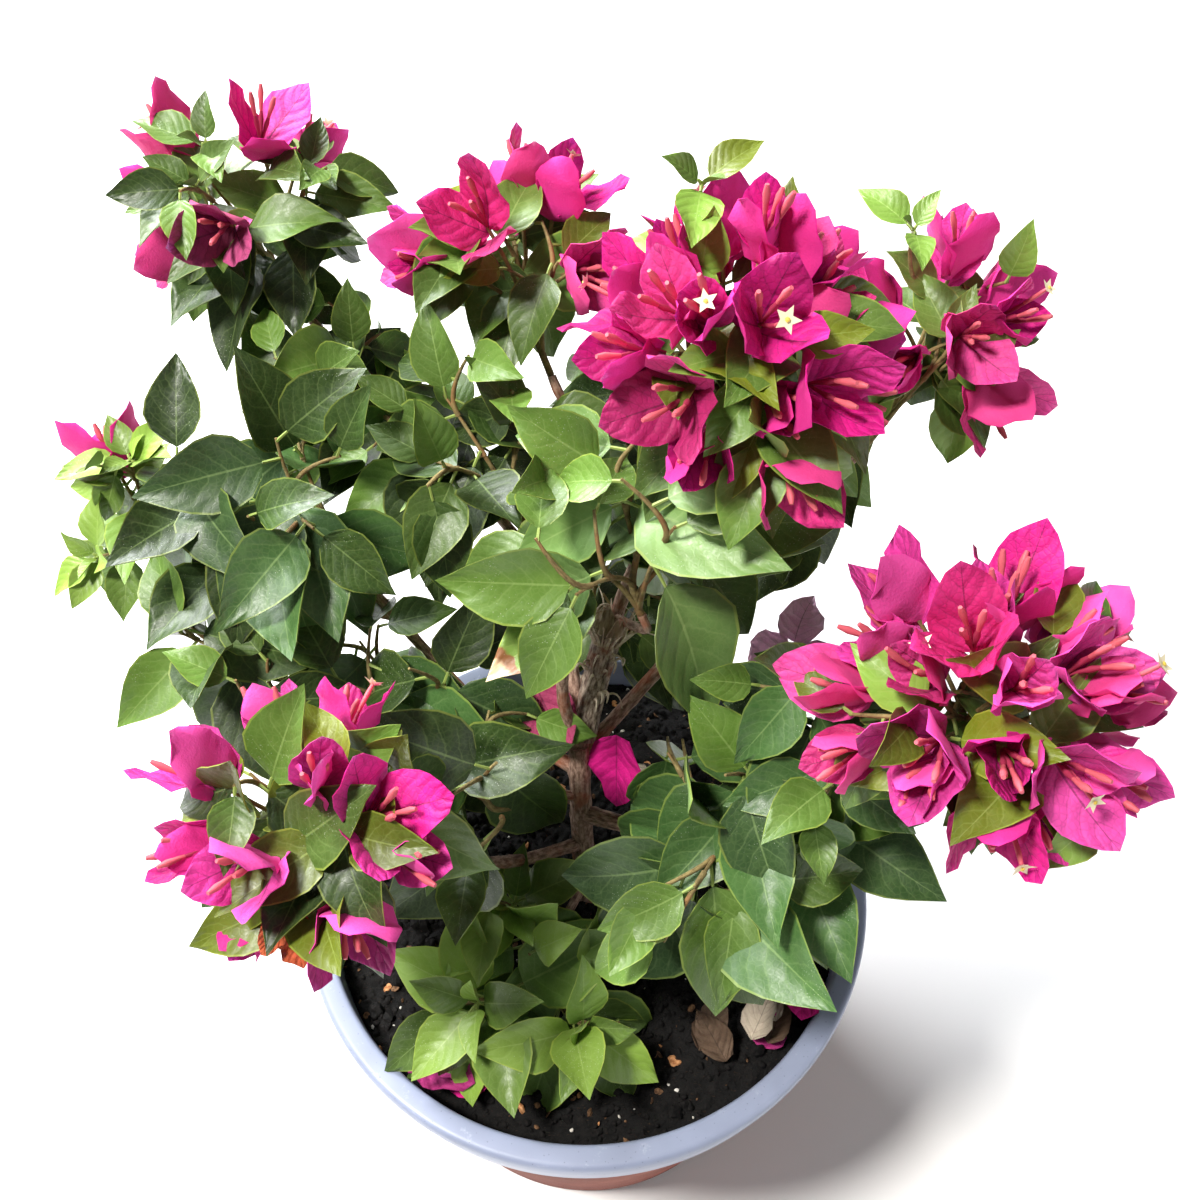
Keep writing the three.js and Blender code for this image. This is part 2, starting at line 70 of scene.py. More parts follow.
POT = SimpleNamespace(height=192, rim_radius=130, foot_radius=97, wall=5, floor=6, bevel=2, sides=180)
RIM = SimpleNamespace(height=25, lip=11, flare=3, roll=4, ledge=4)
SOIL = SimpleNamespace(below_rim=15, relief=3.2, rings=110, sides=320)
TRUNK = SimpleNamespace(foot_radius=9, radius=5.4, tip_radius=4.4, flare_height=24, sides=28, steps=9)
STUB = SimpleNamespace(
    radius=5.2, tip_radius=5.8, sides=36, cavity=13, splinters=34, splinter_length=(8, 20), shreds=22,
    shred_length=(4, 9),
)
BOUGH = SimpleNamespace(sides=20, steps=4)
TWIG = SimpleNamespace(stem_radius=1.7, radius=1.25, tip_radius=0.8, fine_radius=0.6, sides=7, steps=8)

SOIL_TOP = POT.height - SOIL.below_rim
RIM_BOTTOM = POT.height - RIM.height
BODY_TOP_RADIUS = POT.rim_radius - RIM.flare - RIM.ledge

# The rule of growth: where a shoot starts and ends, how its leaves stand, and how a flower head opens.
SHOOT = SimpleNamespace(
    cover=1.15, wobble=0.6, root=(0.3, 0.65), tip=(0.42, 0.16), lift=0.35, lean=0.3,
    leaf_span=(0.34, 0.97), youth_from=0.45, hang=(1.1, 0.1), ahead=(0.2, 0.75), aside=(1, 0.7),
    leaf_size=(1, 0.6), size_spread=0.28, roll_spread=0.7,
)
HEAD = SimpleNamespace(
    cover=1.05, wobble=0.5, foot=(0.46, 0.16), bracts=3, bract_length=33, open_angle=(0.52, 0.42),
    bract_step=0.04, size_spread=(0.88, 0.2),
)
SMALL_HEADS = SimpleNamespace(bract_length=27, foot=(0.4, 0.24), open_angle=(0.35, 0.35))
SIDE_SHOOTS = SimpleNamespace(
    share=(0.45, 0.8), count=2, polar=0.95, length=(0.34, 0.14), leaves=3, leaf_size=0.8,
)
TIPS = SimpleNamespace(
    leaves={"far_left": 5, "front_low": 6, "top_left": 4}, rise=1.6, open_angle=(1.25, 0.5),
    leaf_size=(0.7, 0.32), sprig_leaves=4,
)

COLLAR = SimpleNamespace(at=0.82, leaves=2, open_angle=(1.05, 0.3), roll=0.5, leaf_size=(0.55, 0.3))
FLOWER = SimpleNamespace(
    length=(19, 26), open_angle=(0.16, 0.16), bow=2.5, sides=6, club_at=0.84, club_width=0.13, opened=0.2,
    star=(3.6, 4.6), petal_ends=10, throat_sides=6,
)

# A shoot of young leaves stands out of each of these masses: its tip, the way it points and its longest leaf.
SPRIGS = {
    "big_centre": ((39, 98, 488), (0.1, -0.3, 0.9), 36),
    "right_back": ((124, 142, 440), (0, -0.3, 0.9), 32),
    "top_left": ((-163, 226, 424), (-0.1, -0.3, 0.9), 42),
}

TRUNK_LINE = [(0, 0, SOIL_TOP + GAP), (-2, 8, 222), (-3, 22, 268)]
STUB_LINE = [(-1, 25, 269), (4, 37, 292), (10, 47, 316)]
LIVE_STEM = SimpleNamespace(line=[(-3, 22, 264), (-9, 26, 300), (-6, 30, 334), (2, 32, 355)], radii=(3, 1.9))

# The crown is open from EYE to these places, each with a radius: in front of the bare trunk and stub, and
# between the masses to the sky behind.
EYE = Vector((6, -245, 710))
OPENINGS = [
    ((11, 49, 322), 9), ((16, 54, 300), 7), ((9, 30, 290), 6), ((-2, 31, 240), 5), ((1, 11, 215), 5),
    ((-163, 297, 136), 2), ((-114, 227, 136), 1), ((163, 211, 178), 14), ((139, 178, 178), 8),
    ((184, 230, 192), 10),
]

# Where a blade is tested against them: shares of its length, each with the share of its width there.
BLADE_TESTS = [(0.3, 0.7), (0.6, 0.8), (1, 0)]


@dataclass
class Branch:
    """A bough from a share of its parent's length to `tip`, and its mass of foliage round `centre`."""

    name: str
    parent: str
    at: float
    via: tuple
    tip: tuple
    radii: tuple
    centre: tuple
    reach: tuple
    shoots: int
    leaves: int
    leaf: float
    heads: int
    seed: int
    tones: tuple
    blossom: tuple = ()
    small_heads: int = 0


BRANCHES = [
    Branch("big_centre", "trunk", 0.97, (16, 60, 324), (38, 62, 392), (3.6, 2.2), (51, 68, 436),
           (60, 66, 72), 4, 4, 46, 10, 11, ("mid", "fresh", "olive"), ("magenta", "magenta", "coral"), 11),
    Branch("right", "trunk", 0.62, (42, -8, 250), (118, -22, 330), (3.9, 2.2), (134, -27, 373),
           (68, 62, 62), 3, 4, 44, 10, 12, ("mid", "fresh", "olive"),
           ("orchid", "coral", "orchid", "magenta"), 15),
    Branch("leader", "trunk", 0.99, (-7, 52, 294), (-22, 88, 322), (3.2, 2.2), (-44, 112, 354),
           (66, 60, 62), 4, 5, 52, 0, 13, ("deep", "mid")),
    Branch("top_middle", "leader", 0.6, (2, 108, 340), (-14, 138, 372), (2.4, 1.9), (-27, 163, 407),
           (56, 52, 56), 3, 5, 46, 5, 14, ("mid", "fresh", "olive"), ("coral", "magenta", "orchid"), 3),
    Branch("top_left", "leader", 0.9, (-70, 150, 322), (-128, 200, 352), (2.3, 1.9), (-147, 224, 391),
           (68, 64, 68), 3, 6, 46, 5, 15, ("deep", "mid"), ("magenta", "coral", "plum"), 1),
    Branch("right_back", "trunk", 0.93, (46, 66, 288), (118, 120, 348), (3.2, 2), (143, 140, 389),
           (46, 50, 58), 3, 4, 44, 5, 16, ("mid", "fresh"), ("magenta", "coral", "magenta"), 3),
    Branch("front_left", "trunk", 0.42, (-34, -18, 238), (-74, -42, 294), (3, 2), (-91, -52, 334),
           (70, 52, 54), 4, 5, 50, 5, 17, ("deep", "mid", "olive"), ("orchid", "magenta", "orchid"), 5),
    Branch("left", "trunk", 0.86, (-46, 44, 262), (-92, 78, 302), (3.2, 2.2), (-123, 92, 339), (84, 70, 74),
           5, 5, 64, 0, 18, ("blue", "deep")),
    Branch("far_left", "left", 0.9, (-140, 88, 292), (-176, 98, 298), (1.9, 1.7), (-190, 102, 322),
           (48, 48, 56), 2, 6, 38, 1, 19, ("fresh", "young"), ("magenta",)),
    Branch("left_low", "left", 0.72, (-98, 52, 270), (-122, 46, 280), (1.9, 1.7), (-138, 44, 302),
           (60, 54, 62), 2, 5, 58, 0, 20, ("deep", "mid")),
    Branch("left_middle", "left", 0.45, (-52, 38, 258), (-62, 34, 262), (1.9, 1.7), (-78, 42, 286),
           (70, 62, 64), 3, 5, 64, 0, 21, ("blue", "deep")),
    Branch("inner_left", "top_left", 0.5, (-84, 158, 312), (-94, 160, 314), (1.8, 1.7), (-109, 169, 336),
           (68, 62, 62), 4, 5, 54, 0, 22, ("deep", "mid")),
    Branch("centre", "big_centre", 0.42, (24, 34, 334), (22, 34, 344), (2, 1.7), (20, 40, 374),
           (76, 64, 74), 5, 5, 58, 0, 23, ("sage", "mid")),
    Branch("front_inner", "trunk", 0.72, (-18, 6, 254), (-30, -4, 262), (2.2, 1.8), (-42, -9, 286),
           (70, 62, 66), 4, 5, 62, 0, 24, ("deep", "mid")),
    Branch("right_low", "right", 0.3, (44, -16, 248), (48, -22, 254), (2, 1.7), (56, -24, 276),
           (84, 70, 72), 5, 5, 62, 0, 25, ("blue", "mid")),
    Branch("right_middle", "right", 0.66, (86, -10, 294), (90, -8, 302), (1.9, 1.7), (92, -6, 324),
           (62, 60, 64), 3, 5, 48, 0, 26, ("blue", "mid")),
    Branch("front_low", "trunk", 0.12, (-12, -26, 187), (-20, -44, 187), (2.2, 1.8), (-24, -56, 203),
           (74, 64, 54), 3, 7, 56, 0, 27, ("mid", "fresh", "young")),
    Branch("back_right", "right_back", 0.5, (72, 104, 300), (80, 114, 302), (1.9, 1.7), (84, 132, 326),
           (60, 62, 60), 4, 5, 52, 0, 28, ("deep", "mid")),
    Branch("back", "leader", 0.7, (4, 116, 302), (14, 134, 304), (2, 1.7), (26, 160, 322), (66, 64, 62), 4,
           5, 50, 0, 29, ("deep", "mid")),
    Branch("back_low", "leader", 0.22, (0, 62, 262), (4, 74, 258), (2, 1.7), (10, 98, 258), (66, 50, 50), 4,
           5, 54, 0, 30, ("deep", "mid")),
]

# ---- Numbers, directions and paths ----

UP = Vector((0, 0, 1))
LIGHT = Vector((0, -0.5, 0.86)).normalized()
HANG = Vector((0, -0.45, -1)).normalized()


def mix(a, b, share):
    return a + (b - a) * share


def stream(seed):
    """A repeatable stream of numbers from 0 to 1, the same as the solids' own."""
    whole = 0xFFFFFFFF
    state = seed

    def draw():
        nonlocal state
        state = (state + 0x6D2B79F5) & whole
        t = ((state ^ (state >> 15)) * (state | 1)) & whole
        t ^= (t + (t ^ (t >> 7)) * (t | 61)) & whole
        return (t ^ (t >> 14)) / (whole + 1)

    return draw


def drawn(low_and_span, draw):
    """A number from a low end to as far above it as the span says."""
    low, span = low_and_span
    return low + span * draw()


def across(axis):
    """Two directions square to `axis` and to each other."""
    reference = Vector((1, 0, 0)) if abs(axis.x) < 0.9 else Vector((0, 1, 0))
    side = axis.cross(reference).normalized()
    return side, axis.cross(side)


def spoke(pair, turn):
    """The direction at a turn round an axis, from the two that `across` gives."""
    return pair[0] * math.cos(turn) + pair[1] * math.sin(turn)


def leaning(axis, polar, turn):
    """The direction that leaves `axis` by the angle `polar`, turned round it by `turn`."""
    return axis * math.cos(polar) + spoke(across(axis), turn) * math.sin(polar)


def smooth_path(places, steps):
    """A smooth path through all the places."""
    ends = [places[0] * 2 - places[1], *places, places[-1] * 2 - places[-2]]
    spans = len(places) - 1
    path = []
    for i in range(steps + 1):
        k = min(int(i * spans / steps), spans - 1)
        t = i * spans / steps - k
        a, b, c, d = ends[k : k + 4]
        slope, bend = (c - a) * t, (a * 2 - b * 5 + c * 4 - d) * t**2
        path.append((b * 2 + slope + bend + (b * 3 - a - c * 3 + d) * t**3) / 2)
    return path


def arc(start, control, end, steps=TWIG.steps):
    shares = [i / steps for i in range(steps + 1)]
    return [start * (1 - t) ** 2 + control * (2 * t * (1 - t)) + end * t**2 for t in shares]


def along(path, share):
    """The place and the direction at a share of a path."""
    steps = len(path) - 1
    i = min(int(share * steps), steps - 1)
    return mix(path[i], path[i + 1], share * steps - i), (path[i + 1] - path[i]).normalized()


def circle(radius, height, count, way=1):
    """Even places round the origin, all at one height."""
    turns = [way * math.tau * k / count for k in range(count)]
    return [(radius * math.cos(t), radius * math.sin(t), height) for t in turns]


# ---- Growth ----


@dataclass
class Blade:
    """A leaf or a bract: where it is joined, which way it points and how far it is rolled about that."""

    root: Vector
    heading: Vector
    roll: float
    length: float
    facing: Vector
    youth: float = 0


@dataclass
class Head:
    path: list
    facing: Vector
    bracts: list
    tone: str
    leaves: list = field(default_factory=list)


@dataclass
class Growth:
    """All that grows on one bough."""

    branch: Branch
    stem: list
    shoots: list
    heads: list
    sprigs: list


def leaf_row(path, count, longest, draw):
    """Leaves up a twig: wide hanging ones low down, and small ones that point forward at the tip."""
    phase = math.tau * draw()
    blades = []
    for k in range(count):
        share = mix(*SHOOT.leaf_span, k / (count - 1))
        youth = max(0, (share - SHOOT.youth_from) / (1 - SHOOT.youth_from))
        place, ahead = along(path, share)
        aside = leaning(ahead, math.pi / 2, phase + k * GOLDEN_ANGLE)
        hang = mix(*SHOOT.hang, youth) * (0.6 + 0.8 * draw())
        heading = ahead * mix(*SHOOT.ahead, youth) + aside * mix(*SHOOT.aside, youth) + HANG * hang
        spread = 1 - SHOOT.size_spread / 2 + SHOOT.size_spread * draw()
        length = longest * mix(*SHOOT.leaf_size, youth) * spread
        roll = SHOOT.roll_spread * (draw() - 0.5)
        blades.append(Blade(place, heading.normalized(), roll, length, LIGHT, youth))
    return blades


def grow_shoot(mass, stem, outward, index, draw):
    polar = math.acos(1 - (index + 0.5) / mass.shoots * SHOOT.cover)
    turn = index * GOLDEN_ANGLE + mass.seed + SHOOT.wobble * (draw() - 0.5)
    direction = leaning(outward, polar, turn)
    start = along(stem, drawn(SHOOT.root, draw))[0]
    tip = mass.centre + direction * mass.reach * drawn(SHOOT.tip, draw)
    lift = (tip - start).length * SHOOT.lift
    path = arc(start, mix(start, tip, SHOOT.lean) + outward * lift, tip)
    return path, leaf_row(path, mass.leaves, mass.leaf, draw)


def leaf_star(place, axis, count, longest, draw):
    """Small leaves that stand round a shoot's tip like a star."""
    phase = math.tau * draw()
    leaves = []
    for k in range(count):
        share = k / (count - 1)
        heading = leaning(axis, mix(*TIPS.open_angle, share), phase + k * GOLDEN_ANGLE)
        length = longest * mix(*TIPS.leaf_size, share)
        leaves.append(Blade(place, heading, 0.3 * (draw() - 0.5), length, axis, 1 - 0.3 * draw()))
    return leaves


def tip_leaves(mass, path, draw):
    place, ahead = along(path, 1)
    return leaf_star(place, (ahead + LIGHT * TIPS.rise).normalized(), TIPS.leaves[mass.name], mass.leaf, draw)


def grow_sprigs(mass, stem, draw):
    if mass.name not in SPRIGS:
        return []
    tip, axis, longest = SPRIGS[mass.name]
    tip, axis = Vector(tip), Vector(axis).normalized()
    reach = (tip - stem[-1]).length
    path = arc(stem[-1], tip - axis * reach * 0.4, tip)
    return [(path, leaf_star(tip, axis, TIPS.sprig_leaves, longest, draw))]


def grow_side_shoots(mass, shoot, draw):
    """Finer twigs than the solids have: each leaves a shoot and stays in the same space."""
    grown = []
    for k in range(SIDE_SHOOTS.count):
        place, ahead = along(shoot, mix(*SIDE_SHOOTS.share, k / max(1, SIDE_SHOOTS.count - 1)))
        direction = leaning(ahead, SIDE_SHOOTS.polar, GOLDEN_ANGLE * k + math.tau * draw())
        reach = sum(mass.reach) / 3 * drawn(SIDE_SHOOTS.length, draw)
        path = arc(place, place + ahead * reach * 0.4, place + direction * reach)
        grown.append((path, leaf_row(path, SIDE_SHOOTS.leaves, mass.leaf * SIDE_SHOOTS.leaf_size, draw)))
    return grown


def grow_head(mass, stem, outward, index, draw, kind=HEAD, count=None, offset=0):
    """A flower head on its stalk: three bracts round the line that the head looks along."""
    share = (index + 0.5) / (count or mass.heads)
    turn = index * GOLDEN_ANGLE + mass.seed * 2 + offset + HEAD.wobble * (draw() - 0.5)
    facing = leaning(outward, math.acos(1 - share * HEAD.cover), turn)
    foot = mass.centre + facing * mass.reach * drawn(kind.foot, draw)
    path = [along(stem, mix(0.5, 1, share))[0], foot]
    phase = math.tau * draw()
    bracts = []
    for k in range(HEAD.bracts):
        heading = leaning(facing, drawn(kind.open_angle, draw), phase + math.tau * k / HEAD.bracts)
        length = kind.bract_length * drawn(HEAD.size_spread, draw)
        bracts.append(Blade(along(path, 0.98 - HEAD.bract_step * k)[0], heading, 0, length, facing))
    return Head(path, facing, bracts, mass.blossom[index % len(mass.blossom)])


def grow_small_heads(mass, stem, outward, draw):
    """Younger heads than the solids have, in the gaps between theirs."""
    count = mass.small_heads
    return [grow_head(mass, stem, outward, i, draw, SMALL_HEADS, count, math.pi) for i in range(count)]


def in_opening(blade):
    """Whether a blade reaches into one of the crown's openings."""
    for end, radius in OPENINGS:
        line = Vector(end) - EYE
        for share, half in BLADE_TESTS:
            place = blade.root + blade.heading * blade.length * share - EYE
            aside = place.cross(line).length / line.length
            if place.dot(line) < line.length_squared and aside < radius + half * LEAF.width * blade.length:
                return True
    return False


def kept_leaves(mass, leaves):
    """The leaves whose tips are in the mass's own space, and that leave the crown's openings free."""
    kept = []
    for leaf in leaves:
        tip = leaf.root + leaf.heading * leaf.length - mass.centre
        if Vector(t / r for t, r in zip(tip, mass.reach)).length <= 1 and not in_opening(leaf):
            kept.append(leaf)
    return kept


def collar_leaves(mass, head, draw):
    """Small leaves under a flower head."""
    place, ahead = along(head.path, COLLAR.at)
    turn = math.tau * draw()
    leaves = []
    for k in range(COLLAR.leaves):
        heading = leaning(ahead, drawn(COLLAR.open_angle, draw), turn + math.pi * k * 0.8)
        roll = COLLAR.roll * (draw() - 0.5)
        leaves.append(Blade(place, heading, roll, mass.leaf * drawn(COLLAR.leaf_size, draw), LIGHT, 0.8))
    return leaves


def grow_mass(branch, bough):
    tip, ahead = along(bough, 1)
    mass = SimpleNamespace(**{**vars(branch), "centre": Vector(branch.centre), "reach": Vector(branch.reach)})
    foot = tip + ahead * GAP
    distance = (mass.centre - foot).length
    stem = [foot, *arc(foot + ahead * 2, foot + ahead * distance / 2, mass.centre, 2)]
    outward = ((mass.centre - foot).normalized() + LIGHT).normalized()
    draw = stream(mass.seed)
    fine = stream(mass.seed + 1000)
    shoots = [grow_shoot(mass, stem, outward, i, draw) for i in range(mass.shoots)]
    heads = [grow_head(mass, stem, outward, i, draw) for i in range(mass.heads)]
    for path, leaves in list(shoots):
        shoots += grow_side_shoots(mass, path, fine)
        if mass.name in TIPS.leaves:
            leaves += tip_leaves(mass, path, fine)
    heads += grow_small_heads(mass, stem, outward, fine)
    for head in heads[: mass.heads : 2]:
        head.leaves = kept_leaves(mass, collar_leaves(mass, head, fine))
    shoots = [(path, kept_leaves(mass, leaves)) for path, leaves in shoots]
    shoots = [(path, leaves) for path, leaves in shoots if len(leaves) > 1]
    return Growth(branch, stem, shoots, heads, grow_sprigs(mass, stem, fine))


# ---- Meshes ----


class Batch:
    """Corners and faces of many small shapes, gathered into one piece. Each face names its material slot."""

    def __init__(self):
        self.corners, self.faces, self.slots, self.maps = [], [], [], []
        self.total = 0

    def add(self, corners, faces, slots=0, places=None):
        """`slots` is one slot for all the faces, or one for each. `places` are the corners' map places."""
        corners = np.asarray(corners, float).reshape(-1, 3)
        self.corners.append(corners)
        self.faces += [[v + self.total for v in face] for face in faces]
        self.slots += [slots] * len(faces) if isinstance(slots, int) else list(slots)
        self.maps.append(np.zeros((len(corners), 2)) if places is None else np.asarray(places, float))
        self.total += len(corners)

    def mesh(self, name, finishes, sharp, map_name=None):
        mesh = bpy.data.meshes.new(name)
        mesh.from_pydata((np.vstack(self.corners) * MM).tolist(), [], self.faces)
        for finish in finishes:
            mesh.materials.append(finish)
        mesh.polygons.foreach_set("material_index", self.slots)
        mesh.polygons.foreach_set("use_smooth", [True] * len(self.faces))
        if map_name:
            corner_of = np.empty(len(mesh.loops), int)
            mesh.loops.foreach_get("vertex_index", corner_of)
            mesh.uv_layers.new(name=map_name).data.foreach_set("uv", np.vstack(self.maps)[corner_of].ravel())
        mesh.set_sharp_from_angle(angle=math.radians(sharp))
        mesh.validate()
        return mesh

    def piece(self, name, finishes, slot, replaced=(), sharp=78, map_name=None):
        add_piece(name, self.mesh(name, finishes, sharp, map_name), replaced)


def link_in(thing):
    bpy.context.scene.collection.objects.link(thing)
    return thing


def add_piece(name, mesh, replaced=()):
    piece = link_in(bpy.data.objects.new(name, mesh))
    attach(piece, "root")
    if replaced:
        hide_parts(*replaced)


def ring_faces(rings, sides, capped=True):
    """Faces between rings of corners, with both ends closed."""
    faces = []
    for i in range(rings - 1):
        for k in range(sides):
            a, b = i * sides + k, i * sides + (k + 1) % sides
            faces.append([a, b, b + sides, a + sides])
    if capped:
        end = (rings - 1) * sides
        faces.append(list(range(sides))[::-1])
        faces.append(list(range(end, end + sides)))
    return faces


def tube(batch, path, sides, radius_at, slot=0):
    """A closed tube. `radius_at` takes the distance from the start, the share of the path and the turn."""
    last = len(path) - 1
    lengths = [0]
    for a, b in zip(path, path[1:]):
        lengths.append(lengths[-1] + (b - a).length)
    side = across((path[1] - path[0]).normalized())[0]
    corners, places = [], []
    for i, centre in enumerate(path):
        ahead = (path[min(i + 1, last)] - path[max(i - 1, 0)]).normalized()
        side = (side - ahead * side.dot(ahead)).normalized()
        pair = side, ahead.cross(side)
        for k in range(sides):
            turn = math.tau * k / sides
            radius = radius_at(lengths[i], lengths[i] / lengths[-1], turn)
            corners.append(centre + spoke(pair, turn) * radius)
            places.append((abs(k / sides - 0.5) * radius * math.tau * MM, lengths[i] * MM))
    batch.add(corners, ring_faces(last + 1, sides), slot, places)


def twig_tube(batch, path, start, end, sides=TWIG.sides, slot=0):
    tube(batch, path, sides, lambda _, share, __: mix(start, end, share), slot)


@dataclass
class Form:
    """A kind of blade. Sizes are shares of its length: half width, stalk, sag and thickness."""

    width: float
    round_foot: float
    drawn_tip: float
    stalk: float
    fold: float
    bend: tuple
    twist: float
    wave: float
    waves: float
    relief: float
    thick: float


LEAF = Form(
    width=0.272, round_foot=0.72, drawn_tip=1.18, stalk=0.138, fold=0.4, bend=(0.08, 0.36), twist=0.6,
    wave=0.022, waves=1.5, relief=0.004, thick=0.011,
)
BRACT = Form(
    width=0.37, round_foot=0.6, drawn_tip=0.8, stalk=0.0, fold=0.12, bend=(-0.34, -0.04), twist=0.35,
    wave=0.05, waves=2.1, relief=0.012, thick=0.010,
)
DRY_LEAF = Form(
    width=0.27, round_foot=0.72, drawn_tip=1.1, stalk=0.1, fold=0.55, bend=(-0.3, -0.05), twist=0.8,
    wave=0.07, waves=2.4, relief=0.014, thick=0.016,
)
DRY_BRACT = Form(
    width=0.34, round_foot=0.6, drawn_tip=0.8, stalk=0.0, fold=0.4, bend=(-0.4, -0.1), twist=0.9,
    wave=0.09, waves=2.6, relief=0.02, thick=0.016,
)

COLUMNS = np.array([-1, -0.5, 0, 0.5, 1])
ROWS = np.array([0.045, 0.15, 0.28, 0.42, 0.56, 0.71, 0.87])
SURFACE, EDGE, BACK = range(3)


def blade_faces():
    """The faces of a blade and their parts: the upper side strip by strip, then the edges and the underside.

    Both sides are cut along the same lines, so that neither shows through the other.
    """
    rows, columns = len(ROWS), len(COLUMNS)
    under = rows * columns
    foot, tip = 2 * under, 2 * under + 1
    upper = [[i * columns + j for j in range(columns)] for i in range(rows)]
    lower = [[row[0], *(v + under for v in row), row[-1]] for row in upper]
    faces, parts = [], []
    for grid, kinds, turned in [
        (upper, [SURFACE] * (columns - 1), False),
        (lower, [EDGE] + [BACK] * (columns - 1) + [EDGE], True),
    ]:
        for j, kind in enumerate(kinds):
            strip = [[foot, grid[0][j], grid[0][j + 1]], [grid[-1][j], tip, grid[-1][j + 1]]]
            for a, b in zip(grid, grid[1:]):
                strip += [[a[j], b[j], b[j + 1]], [a[j], b[j + 1], a[j + 1]]]
            faces += [face[::-1] if turned else face for face in strip]
            parts += [kind] * len(strip)
    return faces, parts


def blade_map():
    """Each corner's place on the blade: -1 to 1 from margin to margin, and 0 to 1 from foot to tip."""
    side = [(column, row) for row in ROWS for column in COLUMNS]
    return side * 2 + [(0, 0), (0, 1)]


BLADE_FACES, BLADE_PARTS = blade_faces()
BLADE_MAP = blade_map()


def lay_blade(batch, blade, form, parts, chance):
    """Adds a blade to a batch. `parts` gives the slots of its surface, edge and underside."""
    normal = (blade.facing - blade.heading * blade.facing.dot(blade.heading)).normalized()
    normal.rotate(Matrix.Rotation(blade.roll, 3, blade.heading))
    side = normal.cross(blade.heading)
    slant = 0.075 * np.abs(COLUMNS) * np.sin(math.pi * ROWS)[:, None]
    t = ROWS[:, None] + slant
    peak = form.round_foot / (form.round_foot + form.drawn_tip)
    widest = peak**form.round_foot * (1 - peak) ** form.drawn_tip
    half = form.width * blade.length * t**form.round_foot * (1 - t) ** form.drawn_tip / widest
    out = COLUMNS * half
    bend = chance.uniform(*form.bend)
    curve = chance.uniform(-0.09, 0.09)
    twist = chance.uniform(-form.twist, form.twist)
    phase = chance.uniform(0, math.tau)
    s = mix(form.stalk, 1, t)
    crest = (np.arange(len(ROWS)) % 2 == 0)[:, None] * (np.abs(COLUMNS) == 0.5)
    ripple = np.sin(math.tau * form.waves * t + phase + 1.9 * np.sign(COLUMNS))
    wave = form.wave * blade.length * np.abs(COLUMNS) * ripple
    up = form.fold * np.abs(out) * (0.7 + 0.6 * t) + wave + blade.length * form.relief * crest
    turn = twist * (t - 0.2)
    across_ = out * np.cos(turn) - up * np.sin(turn) + curve * blade.length * s**2
    above = out * np.sin(turn) + up * np.cos(turn) - bend * blade.length * s**2
    upper = np.stack([s * blade.length, across_, above], axis=2)
    lower = upper * (1, 0.985, 1) - (0, 0, form.thick * blade.length)
    ends = [(form.stalk, curve * form.stalk**2, -bend * form.stalk**2), (1, curve, -bend)]
    local = np.vstack([upper.reshape(-1, 3), lower.reshape(-1, 3), np.array(ends) * blade.length])
    basis = np.array([blade.heading, side, normal])
    batch.add(local @ basis + np.array(blade.root), BLADE_FACES, [parts[p] for p in BLADE_PARTS], BLADE_MAP)
    foot = form.stalk * blade.length
    return blade.root + blade.heading * foot - normal * (bend * form.stalk**2 * blade.length), normal


# ---- Shaders ----

DUST = (206, 212, 196)
SCORCHED, STRAW = (128, 84, 50), (206, 178, 140)
THIN = {"Subsurface_Radius": (1, 0.5, 0.8), "Subsurface_Scale": 0.002}


def colour(red, green, blue):
    """A colour named by its three 0 to 255 values, as a shader wants it."""
    values = [c / 255 for c in (red, green, blue)]
    return (*(c / 12.92 if c <= 0.04045 else ((c + 0.055) / 1.055) ** 2.4 for c in values), 1)


def shade(rgb, factor):
    return tuple(min(255, c * factor) for c in rgb)


def toward(rgb, other, share):
    return tuple(mix(a, b, share) for a, b in zip(rgb, other))


class Wire:
    """A shader socket whose arithmetic adds Math nodes."""

    def __init__(self, finish, socket):
        self.finish = finish
        self.socket = socket

    def _maths(self, operation, first, second):
        sockets = {"Value": first, "Value_001": second}
        return self.finish.node("ShaderNodeMath", {"operation": operation}, sockets)

    def __add__(self, other):
        return self._maths("ADD", self, other)

    def __sub__(self, other):
        return self._maths("SUBTRACT", self, other)

    def __rsub__(self, other):
        return self._maths("SUBTRACT", other, self)

    def __mul__(self, other):
        return self._maths("MULTIPLY", self, other)

    __radd__ = __add__
    __rmul__ = __mul__


